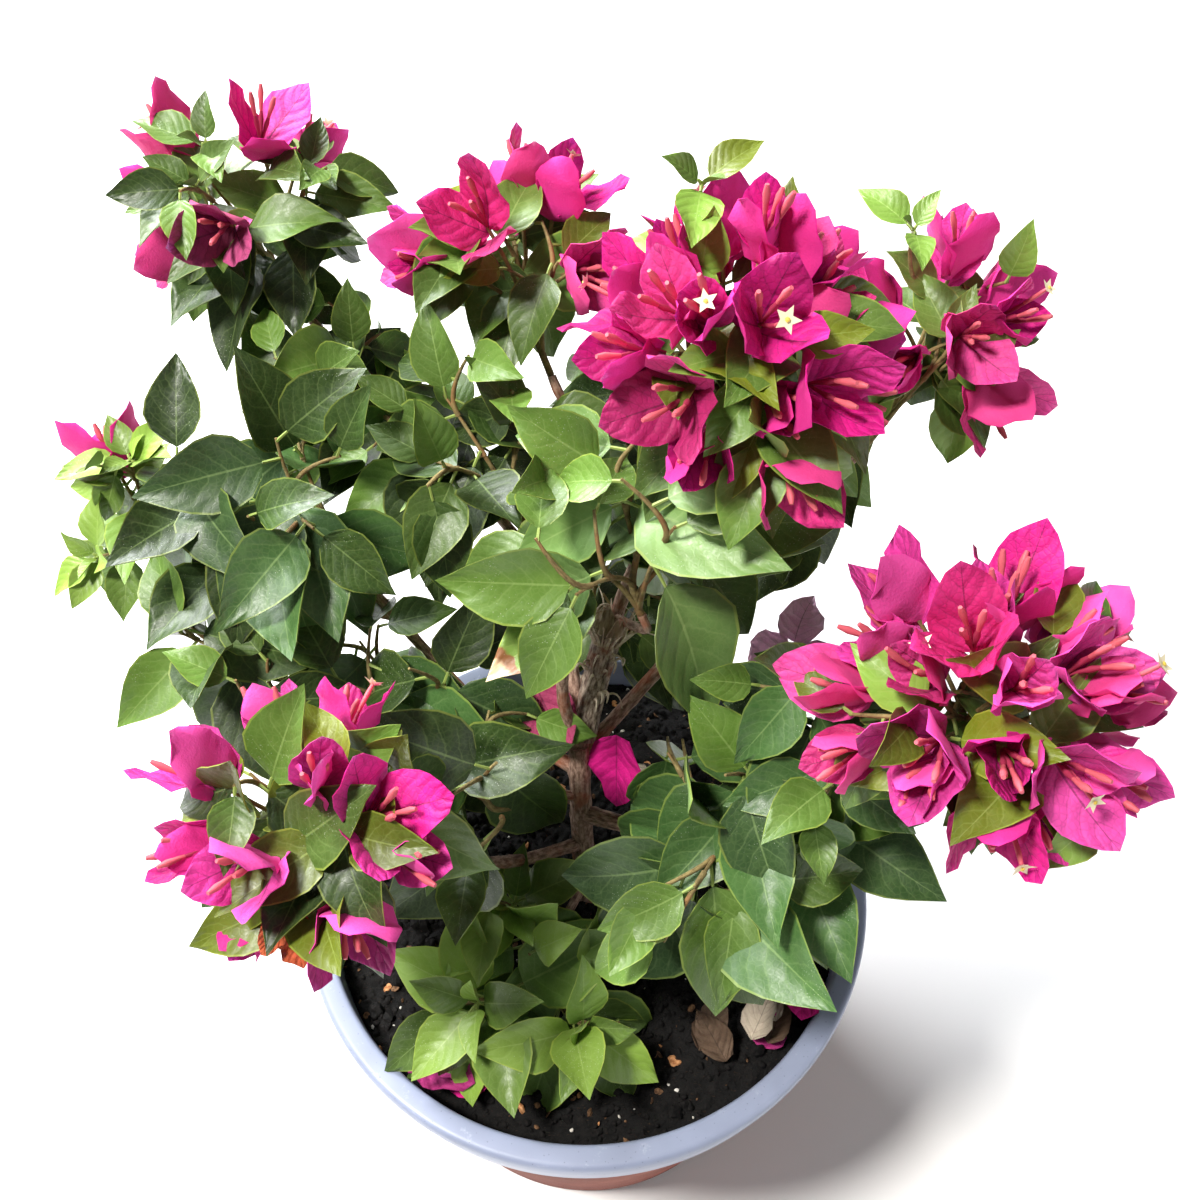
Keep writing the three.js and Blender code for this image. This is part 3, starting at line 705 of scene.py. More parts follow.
class Finish:
    """A material under construction: constants on its shader, and nodes for what varies."""

    def __init__(self, name, **constants):
        self.material = bpy.data.materials.new(name)
        self.material.use_nodes = True
        self.tree = self.material.node_tree
        self.shader = self.tree.nodes["Principled BSDF"]
        for socket, value in constants.items():
            self.shader.inputs[socket.replace("_", " ")].default_value = value
        self.place = self.node("ShaderNodeTexCoord", {}, {}, "Object")

    def node(self, kind, settings, sockets, output=None):
        """Adds a node: its settings first, then the values or wires of its sockets. Returns one output."""
        node = self.tree.nodes.new(kind)
        for name, value in settings.items():
            if name == "stops":
                self._set_stops(node.color_ramp, value)
            else:
                setattr(node, name, value)
        inputs = {socket.identifier: socket for socket in node.inputs}
        for name, value in sockets.items():
            self._feed(inputs[name], value)
        outputs = {socket.identifier: socket for socket in node.outputs}
        return Wire(self, outputs[output] if output else node.outputs[0])

    def _feed(self, socket, value):
        if isinstance(value, Wire):
            self.tree.links.new(value.socket, socket)
        else:
            socket.default_value = value

    def _set_stops(self, ramp, stops):
        while len(ramp.elements) < len(stops):
            ramp.elements.new(0.5)
        for element, (position, value) in zip(ramp.elements, stops):
            element.position = position
            element.color = colour(*value)

    def maths(self, operation, first, second=0.5):
        return Wire(self, first.socket)._maths(operation, first, second)

    def noise(self, scale, detail=3, roughness=0.55, where=None):
        sockets = {"Vector": where or self.place, "Scale": scale, "Detail": detail, "Roughness": roughness}
        return self.node("ShaderNodeTexNoise", {}, sockets, "Fac")

    def cells(self, scale, feature="F1"):
        return self.node("ShaderNodeTexVoronoi", {"feature": feature}, {"Vector": self.place, "Scale": scale})

    def stretched(self, scale, where=None):
        return self.node("ShaderNodeMapping", {}, {"Vector": where or self.place, "Scale": scale})

    def ramp(self, value, *stops):
        return self.node("ShaderNodeValToRGB", {"stops": stops}, {"Fac": value})

    def between(self, value, low, high):
        """0 where the value is under `low`, 1 over `high`, and a smooth step between them."""
        sockets = {"Value": value, "From Min": low, "From Max": high}
        return self.node("ShaderNodeMapRange", {"interpolation_type": "SMOOTHSTEP"}, sockets)

    def blend(self, share, *tones):
        """Mixes two tones, each a wire or three 0 to 255 values."""
        first, second = (tone if isinstance(tone, Wire) else colour(*tone) for tone in tones)
        sockets = {"Factor_Float": share, "A_Color": first, "B_Color": second}
        return self.node("ShaderNodeMix", {"data_type": "RGBA"}, sockets, "Result_Color")

    def bump(self, height, distance, strength=1.0):
        sockets = {"Height": height, "Distance": distance * MM, "Strength": strength}
        return self.node("ShaderNodeBump", {}, sockets)

    def set(self, **wires):
        for name, wire in wires.items():
            self._feed(self.shader.inputs[name.replace("_", " ")], wire)
        return self.material


def terracotta():
    """Rough fired clay with fine grain and soft, paler patches."""
    finish = Finish("terracotta", Specular_IOR_Level=0.3)
    patches = finish.noise(22, 5, 0.6)
    grain = finish.noise(900, 3)
    pores = finish.between(finish.cells(700), 0.12, 0.3)
    base = finish.ramp(patches, (0.3, (106, 54, 43)), (0.55, (130, 70, 57)), (0.8, (154, 94, 77)))
    base = finish.blend((1 - pores) * 0.5, base, (104, 52, 42))
    return finish.set(
        Base_Color=base,
        Roughness=finish.between(grain, 0.2, 0.8) * 0.15 + 0.72,
        Normal=finish.bump(grain * 0.5 + pores, 0.25, 0.6),
    )


def collar_glaze():
    """Satin pale blue-grey, with tiny pits, faint scuffs and a little dust."""
    finish = Finish("collar", Specular_IOR_Level=0.5, Coat_Roughness=0.25)
    cloud = finish.noise(16, 4)
    pits = finish.between(finish.cells(420), 0.05, 0.16)
    scuffs = finish.between(finish.noise(120, 6, 0.7, finish.stretched((1, 1, 6))), 0.58, 0.7)
    base = finish.ramp(cloud, (0.3, (126, 134, 156)), (0.6, (143, 151, 175)), (0.85, (157, 165, 188)))
    base = finish.blend(scuffs * 0.35, base, (184, 190, 204))
    base = finish.blend((1 - pits) * 0.6, base, (96, 100, 116))
    return finish.set(
        Base_Color=base,
        Roughness=scuffs * 0.2 + 0.42,
        Normal=finish.bump(pits + finish.noise(60, 2) * 1.5, 0.2, 0.35),
    )


def potting_mix():
    """Near-black crumbly compost with brown fibre in it."""
    finish = Finish("compost", Roughness=0.78, Specular_IOR_Level=0.3)
    lumps = finish.noise(260, 6, 0.7)
    fibre = finish.between(finish.noise(500, 4, 0.6, finish.stretched((1, 3.5, 1))), 0.6, 0.68)
    base = finish.ramp(lumps, (0.32, (3, 3, 3)), (0.56, (13, 11, 10)), (0.82, (36, 29, 25)))
    base = finish.blend(fibre * 0.45, base, (88, 66, 50))
    return finish.set(Base_Color=base, Normal=finish.bump(lumps + fibre * 0.3, 2.2, 1.0))


def grain(name, dark, light):
    """A mineral or bark chip with mottled faces."""
    finish = Finish(name, Roughness=0.85, Specular_IOR_Level=0.25)
    mottle = finish.noise(700, 4, 0.65)
    base = finish.blend(finish.between(mottle, 0.35, 0.65), dark, light)
    return finish.set(Base_Color=base, Normal=finish.bump(mottle, 0.4, 0.6))


def bark(name, dark, light, node_tint):
    """Bark with cracks that run along the limb, read from the limb's own map."""
    finish = Finish(name, Specular_IOR_Level=0.3)
    limb = finish.node("ShaderNodeUVMap", {"uv_map": "limb"}, {})
    flow = finish.noise(1, 6, 0.65, finish.stretched((620, 190, 1), limb))
    cracks = finish.between(finish.noise(1, 4, 0.7, finish.stretched((1300, 240, 1), limb)), 0.6, 0.7)
    patches = finish.noise(70, 4)
    base = finish.blend(finish.between(flow, 0.35, 0.68), dark, light)
    base = finish.blend(finish.between(patches, 0.52, 0.66) * 0.6, base, node_tint)
    base = finish.blend(cracks * 0.6, base, (58, 42, 33))
    return finish.set(
        Base_Color=base,
        Roughness=finish.between(flow, 0.2, 0.8) * 0.2 + 0.72,
        Normal=finish.bump(flow - cracks * 0.8, 0.5, 0.8),
    )


def skin_finish(name, rgb, roughness, sheen, relief, glow=0.0):
    """The skin of a stalk, an edge or an underside: one plain tone with fine grain in it."""
    finish = Finish(name, Base_Color=colour(*rgb), Specular_IOR_Level=sheen, Subsurface_Weight=glow, **THIN)
    skin = finish.noise(1100, 3, 0.6)
    return finish.set(
        Roughness=finish.between(skin, 0.25, 0.75) * 0.16 + roughness,
        Normal=finish.bump(skin, relief, 0.5),
    )


def blade_finish(name, rgb, vein, margin, look, dry=0.0):
    """A blade's upper face: its tone, rib and margin, its side veins and the quilting between them.

    `look` is how its kind of blade looks, and `dry` the share at the tip that has turned brown.
    """
    finish = Finish(name, Specular_IOR_Level=look.sheen, Subsurface_Weight=look.glow, **THIN)
    own = finish.node("ShaderNodeUVMap", {"uv_map": "blade"}, {})
    across_ = finish.maths("ABSOLUTE", finish.node("ShaderNodeSeparateXYZ", {}, {"Vector": own}, "X"))
    ahead = finish.node("ShaderNodeSeparateXYZ", {}, {"Vector": own}, "Y")
    skin = finish.noise(900, 3, 0.6)
    wander = finish.noise(150, 2)
    rise = ahead * look.veins - across_ * (across_ * 0.6 + 1.1) + wander * 0.5
    gap = finish.maths("PINGPONG", rise, 0.5)
    line = (1 - finish.between(gap, 0.0, 0.1)) * (1 - finish.between(across_, 0.55, 0.95))
    net = finish.between(finish.cells(430, "DISTANCE_TO_EDGE"), 0, 0.16)
    mottle = finish.between(wander, 0.35, 0.7)
    base = finish.blend(mottle * 0.8, rgb, toward(rgb, vein, 0.26))
    rib = 1 - finish.between(across_ + ahead * 0.02, 0.02, 0.05)
    base = finish.blend(line * look.mark + (1 - net) * look.mark * 0.5 + rib * 0.8, base, vein)
    base = finish.blend(finish.between(across_, 0.93, 0.96) * 0.8, base, margin)
    if dry:
        edge = ahead + wander * 0.16
        base = finish.blend(finish.between(edge, 1 - dry, 1.02 - dry), base, SCORCHED)
        base = finish.blend(finish.between(edge, 1.07 - dry, 1.12 - dry), base, STRAW)
    dusty = finish.between(finish.noise(38, 2), 0.54, 0.62)
    specks = 1 - finish.between(finish.cells(900), 0.08, 0.2)
    base = finish.blend(specks * dusty * look.dust, base, DUST)
    return finish.set(
        Base_Color=base,
        Roughness=finish.between(skin, 0.25, 0.75) * 0.14 + look.roughness + line * 0.08,
        Normal=finish.bump(finish.between(gap, 0, 0.4) + net * 0.22 + skin * 0.16, look.relief, 0.7),
    )


# ---- Pot and soil ----

GRAIN_TONES = {
    "dark_crumbs": ((4, 4, 4), (20, 17, 16)),
    "brown_fibre": ((70, 48, 34), (128, 96, 68)),
    "perlite": ((188, 182, 170), (236, 232, 224)),
    "bark_chips": ((150, 96, 58), (206, 152, 104)),
}

# What is strewn over the soil: piece, tone, how many to a square metre, smallest and largest, flatness, seed.
GRAINS = [
    ("soil_crumbs", "dark_crumbs", 32000, 0.6, 2.3, 0.8, 5),
    ("soil_clods", "dark_crumbs", 4200, 2.0, 4.4, 0.7, 8),
    ("soil_fibre", "brown_fibre", 5200, 0.6, 2.6, 0.22, 3),
    ("soil_perlite", "perlite", 1900, 0.5, 1.5, 0.8, 9),
    ("soil_bark_chips", "bark_chips", 1100, 1.0, 3.6, 0.4, 4),
]
SCATTER_INPUTS = {
    "Surface": "Geometry", "Density": "Float", "Smallest": "Float", "Largest": "Float", "Flatness": "Float",
    "Seed": "Int", "Finish": "Material",
}


def inside_radius(z):
    return mix(POT.foot_radius, BODY_TOP_RADIUS, z / RIM_BOTTOM) - POT.wall


def rounded(profile, radii):
    """The profile with each inner corner rounded by its radius, in small steps."""
    points = [Vector(p) for p in profile]
    result = [points[0]]
    for before, corner, after, radius in zip(points, points[1:], points[2:], radii):
        back = before - corner
        ahead = after - corner
        reach = min(radius, back.length * 0.49, ahead.length * 0.49)
        start, end = corner + back.normalized() * reach, corner + ahead.normalized() * reach
        result += [start, end] if reach < 0.05 else arc(start, corner, end, 5)
    return [*result, points[-1]]


def lathe(batch, profile, sides):
    """A closed solid of revolution from a profile that starts and ends on the axis, or closes on itself."""
    on_axis = profile[0][0] == 0
    rings = profile[1:-1] if on_axis else profile[:-1]
    corners = [place for r, z in rings for place in circle(r, z, sides, -1)]
    faces = [f[::-1] for f in ring_faces(len(rings), sides, capped=False)]
    end = (len(rings) - 1) * sides
    for k in range(sides):
        after = (k + 1) % sides
        if on_axis:
            faces += [[len(corners), after, k], [len(corners) + 1, end + k, end + after]]
        else:
            faces.append([end + after, after, k, end + k])
    if on_axis:
        corners += [(0, 0, profile[0][1]), (0, 0, profile[-1][1])]
    batch.add(corners, faces)


def turned_piece(name, node, finish, profile, radii):
    """A piece turned from a rounded profile, in place of one of the solids."""
    batch = Batch()
    lathe(batch, rounded(profile, radii), POT.sides)
    batch.piece(name, [finish], node, [node], 40)


def make_pot():
    profile = [
        (0, 0),
        (POT.foot_radius - POT.bevel, 0),
        (POT.foot_radius + 0.4, POT.bevel + 1),
        (BODY_TOP_RADIUS, RIM_BOTTOM - GAP),
        (inside_radius(RIM_BOTTOM), RIM_BOTTOM - GAP),
        (inside_radius(POT.floor), POT.floor),
        (0, POT.floor),
    ]
    turned_piece("pot_wall", "pot_body", terracotta(), profile, [2, 2, 0.8, 0.8, 4])


def make_collar():
    inside = POT.rim_radius - RIM.lip
    profile = [
        (inside_radius(RIM_BOTTOM), RIM_BOTTOM),
        (POT.rim_radius - RIM.flare, RIM_BOTTOM),
        (POT.rim_radius, POT.height - RIM.roll * 1.4),
        (POT.rim_radius - 0.6, POT.height),
        (inside + 0.8, POT.height),
        (inside, POT.height - RIM.roll),
        (inside_radius(RIM_BOTTOM), RIM_BOTTOM),
    ]
    turned_piece("pot_collar", "pot_rim", collar_glaze(), profile, [1.2, 3, 3.6, 3, 1.5])


def soil_height(x, y):
    """The soil's surface: low swells, clods and crumbs, with a dip along the wall."""
    place = Vector((x, y, 0))
    swell = noise.noise(place / 34) * SOIL.relief
    clods = (0.5 - abs(noise.noise(place / 9 + UP * 7))) * 2.6
    crumbs = noise.turbulence(place / 3.4, 4, False) * 2.4
    near_wall = max(0, (math.hypot(x, y) - 98) / 18) ** 2
    return SOIL_TOP - 1.4 + swell * 0.6 + clods + crumbs - near_wall * 3


def soil_surface(edge):
    flat = [(0, 0, 0)]
    for i in range(1, SOIL.rings + 1):
        flat += circle(edge * i / SOIL.rings, 0, SOIL.sides)
    corners = [(x, y, soil_height(x, y)) for x, y, _ in flat]
    faces = [[0, 1 + k, 1 + (k + 1) % SOIL.sides] for k in range(SOIL.sides)]
    faces += [[v + 1 for v in face[::-1]] for face in ring_faces(SOIL.rings, SOIL.sides, capped=False)]
    return corners, faces


def make_soil():
    """The soil as a closed piece. Returns its surface for the grains."""
    edge = inside_radius(RIM_BOTTOM) - GAP
    corners, faces = soil_surface(edge)
    surface = Batch()
    surface.add(corners, faces)
    top = surface.mesh("soil_top", [potting_mix()], 60)
    rim = len(corners) - SOIL.sides
    below = [(edge, RIM_BOTTOM), (inside_radius(POT.floor) - GAP, POT.floor + GAP)]
    corners += [place for r, z in below for place in circle(r, z, SOIL.sides)]
    skirt = [[v + rim for v in face[::-1]] for face in ring_faces(3, SOIL.sides, capped=False)]
    closed = Batch()
    closed.add(corners, [*faces, *skirt, list(range(len(corners) - SOIL.sides, len(corners)))[::-1]])
    closed.piece("compost", [top.materials[0]], "soil", ["soil"], 60)
    return top


def scatter_tree():
    """The node tree that strews grains over a surface."""
    tree = bpy.data.node_groups.new("strewn_grains", "GeometryNodeTree")
    for name, kind in SCATTER_INPUTS.items():
        tree.interface.new_socket(name, in_out="INPUT", socket_type="NodeSocket" + kind)
    tree.interface.new_socket("Grains", in_out="OUTPUT", socket_type="NodeSocketGeometry")

    def add(kind, sockets, output=0, **settings):
        """Adds a node with values or links for its inputs. Returns one output."""
        node = tree.nodes.new(kind)
        for name, value in settings.items():
            setattr(node, name, value)
        for key, value in sockets.items():
            if isinstance(value, bpy.types.NodeSocket):
                tree.links.new(value, node.inputs[key])
            else:
                node.inputs[key].default_value = value
        return node.outputs[output]

    given = tree.nodes.new("NodeGroupInput").outputs
    seed = given["Seed"]
    spread = {"Mesh": given["Surface"], "Density": given["Density"], "Seed": seed}
    points = add("GeometryNodeDistributePointsOnFaces", spread)
    ball = add("GeometryNodeMeshIcoSphere", {"Radius": 1, "Subdivisions": 2})
    squash = add("ShaderNodeCombineXYZ", {"X": 1, "Y": 0.75, "Z": given["Flatness"]})
    grain_shape = add("GeometryNodeTransform", {"Geometry": ball, "Scale": squash})
    tumble = {"Max": (1.2, 1.2, math.tau), "Seed": seed}
    turn = add("FunctionNodeRandomValue", tumble, data_type="FLOAT_VECTOR")
    size = add("FunctionNodeRandomValue", {2: given["Smallest"], 3: given["Largest"], "Seed": seed}, 1)
    placed = {"Points": points, "Instance": grain_shape, "Rotation": turn, "Scale": size}
    strewn = add("GeometryNodeInstanceOnPoints", placed)
    real = add("GeometryNodeRealizeInstances", {"Geometry": strewn})
    rough = add("ShaderNodeTexNoise", {"Scale": 300}, "Color")
    centred = add("ShaderNodeVectorMath", {0: rough, 1: (0.5, 0.5, 0.5)}, operation="SUBTRACT")
    amount = add("ShaderNodeVectorMath", {0: centred, "Scale": given["Largest"]}, operation="SCALE")
    shift = add("GeometryNodeSetPosition", {"Geometry": real, "Offset": amount})
    painted = add("GeometryNodeSetMaterial", {"Geometry": shift, "Material": given["Finish"]})
    tree.links.new(painted, tree.nodes.new("NodeGroupOutput").inputs["Grains"])
    return tree


def strew(tree, surface, name, finish, density, smallest, largest, flatness, seed):
    """Grains over the soil as one plain mesh."""
    host = link_in(bpy.data.objects.new(name + "_host", surface))
    modifier = host.modifiers.new("strewn_grains", "NODES")
    modifier.node_group = tree
    values = {"Density": density, "Smallest": smallest * MM, "Largest": largest * MM, "Flatness": flatness,
              "Seed": seed, "Finish": finish}
    for item in tree.interface.items_tree:
        if item.name in values and item.in_out == "INPUT":
            modifier[item.identifier] = values[item.name]
    grains = bpy.data.meshes.new_from_object(host.evaluated_get(bpy.context.evaluated_depsgraph_get()))
    host.modifiers.remove(modifier)
    bpy.data.objects.remove(host)
    grains.name = name
    add_piece(name, grains)


def make_grains(surface):
    tree = scatter_tree()
    finishes = {name: grain(name, dark, light) for name, (dark, light) in GRAIN_TONES.items()}
    for name, finish, *rule in GRAINS:
        strew(tree, surface, name, finishes[finish], *rule)


# ---- Trunk, boughs and stub ----

# The torn lip of the stub, ring by ring: its rise and width as shares, and how ragged it is.
STUB_RINGS = [
    (0.0, 1.0, 1.0), (0.35, 1.03, 1.0), (0.4, 0.86, 0.9),
    (-0.6, 0.74, 0.4), (-1.6, 0.55, 0.1), (-2.2, 0.3, 0),
]


def knotted(radius, seed, spacing, swell=0.16):
    """A radius with leaf scars at even distances and ridges that run along the limb."""
    def at(distance, share, turn):
        scar = abs((distance + seed * 7.3) % spacing - spacing / 2) / (spacing / 2)
        side = 0.5 + 0.5 * math.cos(turn - seed - GOLDEN_ANGLE * ((distance + seed * 7.3) // spacing))
        ring = max(0, 1 - scar * 3.2) ** 2 * (0.35 + 0.65 * side)
        round_ = Vector((math.cos(turn) * 2.2, math.sin(turn) * 2.2, distance / 16 + seed * 3))
        ridge = noise.noise(round_) * 0.11 + noise.noise(round_ * 2.7) * 0.05
        return radius(share) * (1 + ring * swell + ridge)

    return at


def trunk_path(steps):
    foot, middle, fork = (Vector(p) for p in TRUNK_LINE)
    return [foot, *smooth_path([foot + UP * 4, middle, fork], steps)]


def bough_places(branch, paths):
    """The places that a bough runs through, from where it leaves its parent."""
    return [along(paths[branch.parent], branch.at)[0], Vector(branch.via), Vector(branch.tip)]


def limb_paths():
    """The paths of the trunk and the boughs, with the steps that the solids have."""
    paths = {"trunk": trunk_path(TRUNK.steps)}
    for branch in BRANCHES:
        paths[branch.name] = smooth_path(bough_places(branch, paths), BOUGH.steps)
    return paths


def make_limbs(paths):
    """Trunk, boughs and the torn stub as one piece with the bark's relief."""
    batch = Batch()
    line = trunk_path(44)
    height = line[-1].z - line[0].z
    sunk = 6
    spread = TRUNK.foot_radius - TRUNK.radius

    def trunk_radius(share):
        flare = max(0, 1 - max(0, share * (height + sunk) - sunk) / TRUNK.flare_height) ** 2
        return mix(TRUNK.radius, TRUNK.tip_radius, share) + spread * flare

    tube(batch, [line[0] - UP * sunk, *line], TRUNK.sides, knotted(trunk_radius, 1, 26, 0.2))
    for i, branch in enumerate(BRANCHES, 2):
        places = bough_places(branch, paths)
        steps = max(8, int(sum((b - a).length for a, b in zip(places, places[1:])) / 2.6))
        radius = knotted(lambda share, r=branch.radii: mix(*r, share), i, 19)
        tube(batch, smooth_path(places, steps), BOUGH.sides, radius)
    live = smooth_path([Vector(p) for p in LIVE_STEM.line], 36)
    tube(batch, live, BOUGH.sides, knotted(lambda share: mix(*LIVE_STEM.radii, share), 7, 19))
    add_stub(batch)
    finishes = [
        bark("bark", (110, 82, 68), (190, 160, 142), (150, 78, 44)),
        bark("torn_wood", (168, 146, 120), (236, 224, 204), (120, 84, 58)),
        bark("dead_bark", (84, 64, 54), (196, 178, 160), (128, 66, 38)),
    ]
    names = ["trunk", "broken_stub"] + ["bough_" + branch.name for branch in BRANCHES]
    batch.piece("woody_limbs", finishes, "bark", names, 70, "limb")


def add_stub(batch):
    """The dead stub: grey bark with curled shreds, and a jagged, fibrous lip round a dark hollow."""
    chance = random.Random(5)
    path = smooth_path([Vector(p) for p in STUB_LINE], 22)
    jag = [chance.uniform(-1, 1) for _ in range(STUB.sides)]
    top = path[-1]
    ahead = (top - path[-2]).normalized()
    pair = across(ahead)
    body = Batch()
    radius = knotted(lambda share: mix(STUB.radius, STUB.tip_radius, share), 3, 17, 0.14)
    tube(body, path[:-1], STUB.sides, radius)
    batch.add(body.corners[0], body.faces[:-1], 2, body.maps[0])
    corners, maps = [], []
    for rise, wide, ragged in STUB_RINGS:
        for k in range(STUB.sides):
            turn = math.tau * k / STUB.sides
            teeth = ragged * (5 * math.sin(turn * 2 + 0.6) + 3.2 * jag[k]) * (rise > 0)
            lift = rise * STUB.cavity / 2.4 + teeth
            corners.append(top + spoke(pair, turn) * STUB.tip_radius * wide + ahead * lift)
            maps.append((k / STUB.sides * 0.03, (rise + 3) * 0.004))
    faces = ring_faces(len(STUB_RINGS), STUB.sides, capped=False)
    faces.append(list(range(len(corners) - STUB.sides, len(corners))))
    batch.add(corners, faces, 1, maps)
    for _ in range(STUB.splinters):
        out = spoke(pair, chance.uniform(0, math.tau))
        start = top + out * STUB.tip_radius * 0.97 - ahead * 5
        length = chance.uniform(*STUB.splinter_length)
        crook = start + (ahead + out * chance.uniform(0.1, 0.9)) * length * 0.7
        end = start + (ahead * chance.uniform(0.5, 1) + out * chance.uniform(-0.2, 0.9)) * length
        twig_tube(batch, arc(start, crook, end, 6), chance.uniform(0.5, 1.2), 0.15, 5, 1)
    for _ in range(STUB.shreds):
        centre, ahead = along(path, chance.uniform(0.4, 0.98))
        out = spoke(across(ahead), chance.uniform(0, math.tau))
        start = centre + out * STUB.radius * 0.9
        length = chance.uniform(*STUB.shred_length)
        end = start + (out * chance.uniform(0.5, 1) - ahead * chance.uniform(-0.3, 0.7)) * length
        crook = start + (ahead + out) * length * 0.7
        twig_tube(batch, arc(start, crook, end, 6), chance.uniform(0.6, 1.2), 0.2, 5, 1)


# ---- Twigs, leaves and blossom ----

LEAF_TONES = {
    "deep": (36, 56, 16),
    "blue": (54, 84, 40),
    "sage": (96, 126, 66),
    "mid": (78, 106, 40),
    "fresh": (106, 138, 54),
    "young": (112, 140, 54),
    "olive": (92, 104, 22),
}
BRACT_TONES = {
    "magenta": (204, 20, 124),
    "orchid": (218, 58, 152),
    "coral": (206, 40, 118),
    "plum": (152, 54, 90),
}
VARIANTS = (0.82, 1.0, 1.16)
# The pale pink is partly the bracts' own lighter pink and partly painted highlight, worn by each tone's third
# variant.
PALE_PINK_AND_HIGHLIGHT, ROSE = (250, 118, 196), (226, 120, 160)
PALE_VEIN, YELLOW_EDGE, PALE_UNDERSIDE = (176, 196, 130), (178, 186, 84), (150, 176, 120)
STALKED = 1.16

# How a kind of blade looks: how many side veins it has and how much they show, its gloss, its quilting, how
# much light passes through it, and how much dust lies on it.
LEAF_LOOK = SimpleNamespace(veins=6.5, mark=0.3, roughness=0.36, sheen=0.42, relief=0.12, glow=0.0, dust=0.4)
BRACT_LOOK = SimpleNamespace(veins=5.5, mark=0.42, roughness=0.58, sheen=0.32, relief=0.4, glow=0.14, dust=0)
DRY_LOOK = SimpleNamespace(veins=6, mark=0.35, roughness=0.66, sheen=0.25, relief=0.5, glow=0.05, dust=0)

# The skins of the flowers: part, tone, roughness and sheen.
FLOWER_SKINS = [
    ("tube", (160, 48, 78), 0.5, 0.4),
    ("club", (202, 92, 104), 0.5, 0.4),
    ("star", (236, 224, 188), 0.55, 0.35),
    ("throat", (226, 196, 86), 0.6, 0.3),
]


def leaf_finishes(tone, rgb):
    """Slots: the leaf's variants, then edge and underside."""
    finishes = []
    for i, variant in enumerate(VARIANTS, 1):
        own = shade(rgb, variant)
        vein, margin = toward(own, PALE_VEIN, 0.4), toward(own, YELLOW_EDGE, 0.5)
        finishes.append(blade_finish(f"leaf_{tone}_{i}", own, vein, margin, LEAF_LOOK))
    return [
        *finishes,
        skin_finish(f"leaf_{tone}_edge", toward(rgb, YELLOW_EDGE, 0.4), 0.4, 0.5, 0.1),
        skin_finish(f"leaf_{tone}_underside", toward(rgb, PALE_UNDERSIDE, 0.5), 0.6, 0.3, 0.2),
    ]


def bract_finishes(tone, rgb):
    """Slots: the bract's variants, then edge and outside."""
    finishes = []
    for i, variant in enumerate(VARIANTS, 1):
        # The third variant is paler: partly the bract's own lighter pink, partly painted highlight.
        own = shade(rgb, variant) if variant <= 1 else toward(rgb, PALE_PINK_AND_HIGHLIGHT, 0.32)
        finishes.append(blade_finish(f"bract_{tone}_{i}", own, shade(own, 0.62), own, BRACT_LOOK))
    return [
        *finishes,
        skin_finish(f"bract_{tone}_edge", shade(rgb, 1.04), 0.6, 0.35, 0.3, 0.12),
        skin_finish(f"bract_{tone}_outside", toward(rgb, ROSE, 0.25), 0.66, 0.3, 0.4, 0.12),
    ]


def parts_of(variant):
    """The slots of a blade that wears the given variant of its tone."""
    edge = len(VARIANTS)
    return [variant, edge, edge + 1]


def leaf_tone(branch, youth, chance):
    old, new, *other = branch.tones
    if other and youth + chance.uniform(-0.3, 0.3) > 0.7:
        return other[0]
    return new if youth + chance.uniform(-0.25, 0.25) > 0.5 else old


def lay_leaf(batches, stalks, blade, tone, chance):
    """A leaf with its stalk, in the batch of its tone."""
    whole = Blade(blade.root, blade.heading, blade.roll, blade.length * STALKED, blade.facing)
    foot, normal = lay_blade(batches[tone], whole, LEAF, parts_of(chance.randrange(len(VARIANTS))), chance)
    twig_tube(stalks, arc(blade.root, blade.root + blade.heading * 3 + normal * 0.5, foot, 3), 0.75, 0.6, 5)


def lay_flower(batch, head, chance):
    """Three slim tubes with club-shaped ends, and on some heads one that has opened as a small star."""
    turn = chance.uniform(0, math.tau)
    foot = head.path[-1]
    for k in range(HEAD.bracts):
        polar = drawn(FLOWER.open_angle, chance.random)
        direction = leaning(head.facing, polar, turn + math.tau * k / HEAD.bracts)
        length = chance.uniform(*FLOWER.length)
        bow = leaning(head.facing, math.pi / 2, turn) * chance.uniform(-FLOWER.bow, FLOWER.bow)
        path = arc(foot, foot + direction * length * 0.5 + bow, foot + direction * length, 7)
        opened = k == 0 and chance.random() < FLOWER.opened
        club = 0.2 if opened else 1.0

        def radius(_, share, __, club=club):
            swell = math.exp(-(((share - FLOWER.club_at) / FLOWER.club_width) ** 2))
            return mix(0.6, 0.9, share) + club * swell * 0.6 - 0.3 * share**9

        tube(batch, path[:5], FLOWER.sides, radius, 0)
        tube(batch, path[4:], FLOWER.sides, lambda d, s, t: radius(d, mix(0.57, 1, s), t), 1)
        if opened:
            lay_star(batch, path[-1], direction, chance.uniform(*FLOWER.star), turn)


def cone_faces(count, above):
    """Faces from a ring of corners to the point above it and to the one under it. These two come first."""
    pairs = [(2 + k, 2 + (k + 1) % count) for k in range(count)]
    return [face for a, b in pairs for face in ([above, a, b], [1 - above, b, a])]


def lay_star(batch, centre, facing, radius, turn):
    """An open flower: five cream petals with notched ends round a yellow throat."""
    pair = across(facing)
    ends, sides = FLOWER.petal_ends, FLOWER.throat_sides
    rim = []
    for k in range(ends):
        reach, lift = (radius, 1.3) if k % 2 == 0 else (radius * 0.48, 0.5)
        rim.append(centre + spoke(pair, turn + math.tau * k / ends) * reach + facing * lift)
    batch.add([centre + facing * 0.2, centre - facing * 0.8, *rim], cone_faces(ends, 0), 2)
    ring = [centre + spoke(pair, math.tau * k / sides) * radius * 0.2 + facing * 0.9 for k in range(sides)]
    batch.add([centre + facing * 0.3, centre + facing * 1.5, *ring], cone_faces(sides, 1), 3)


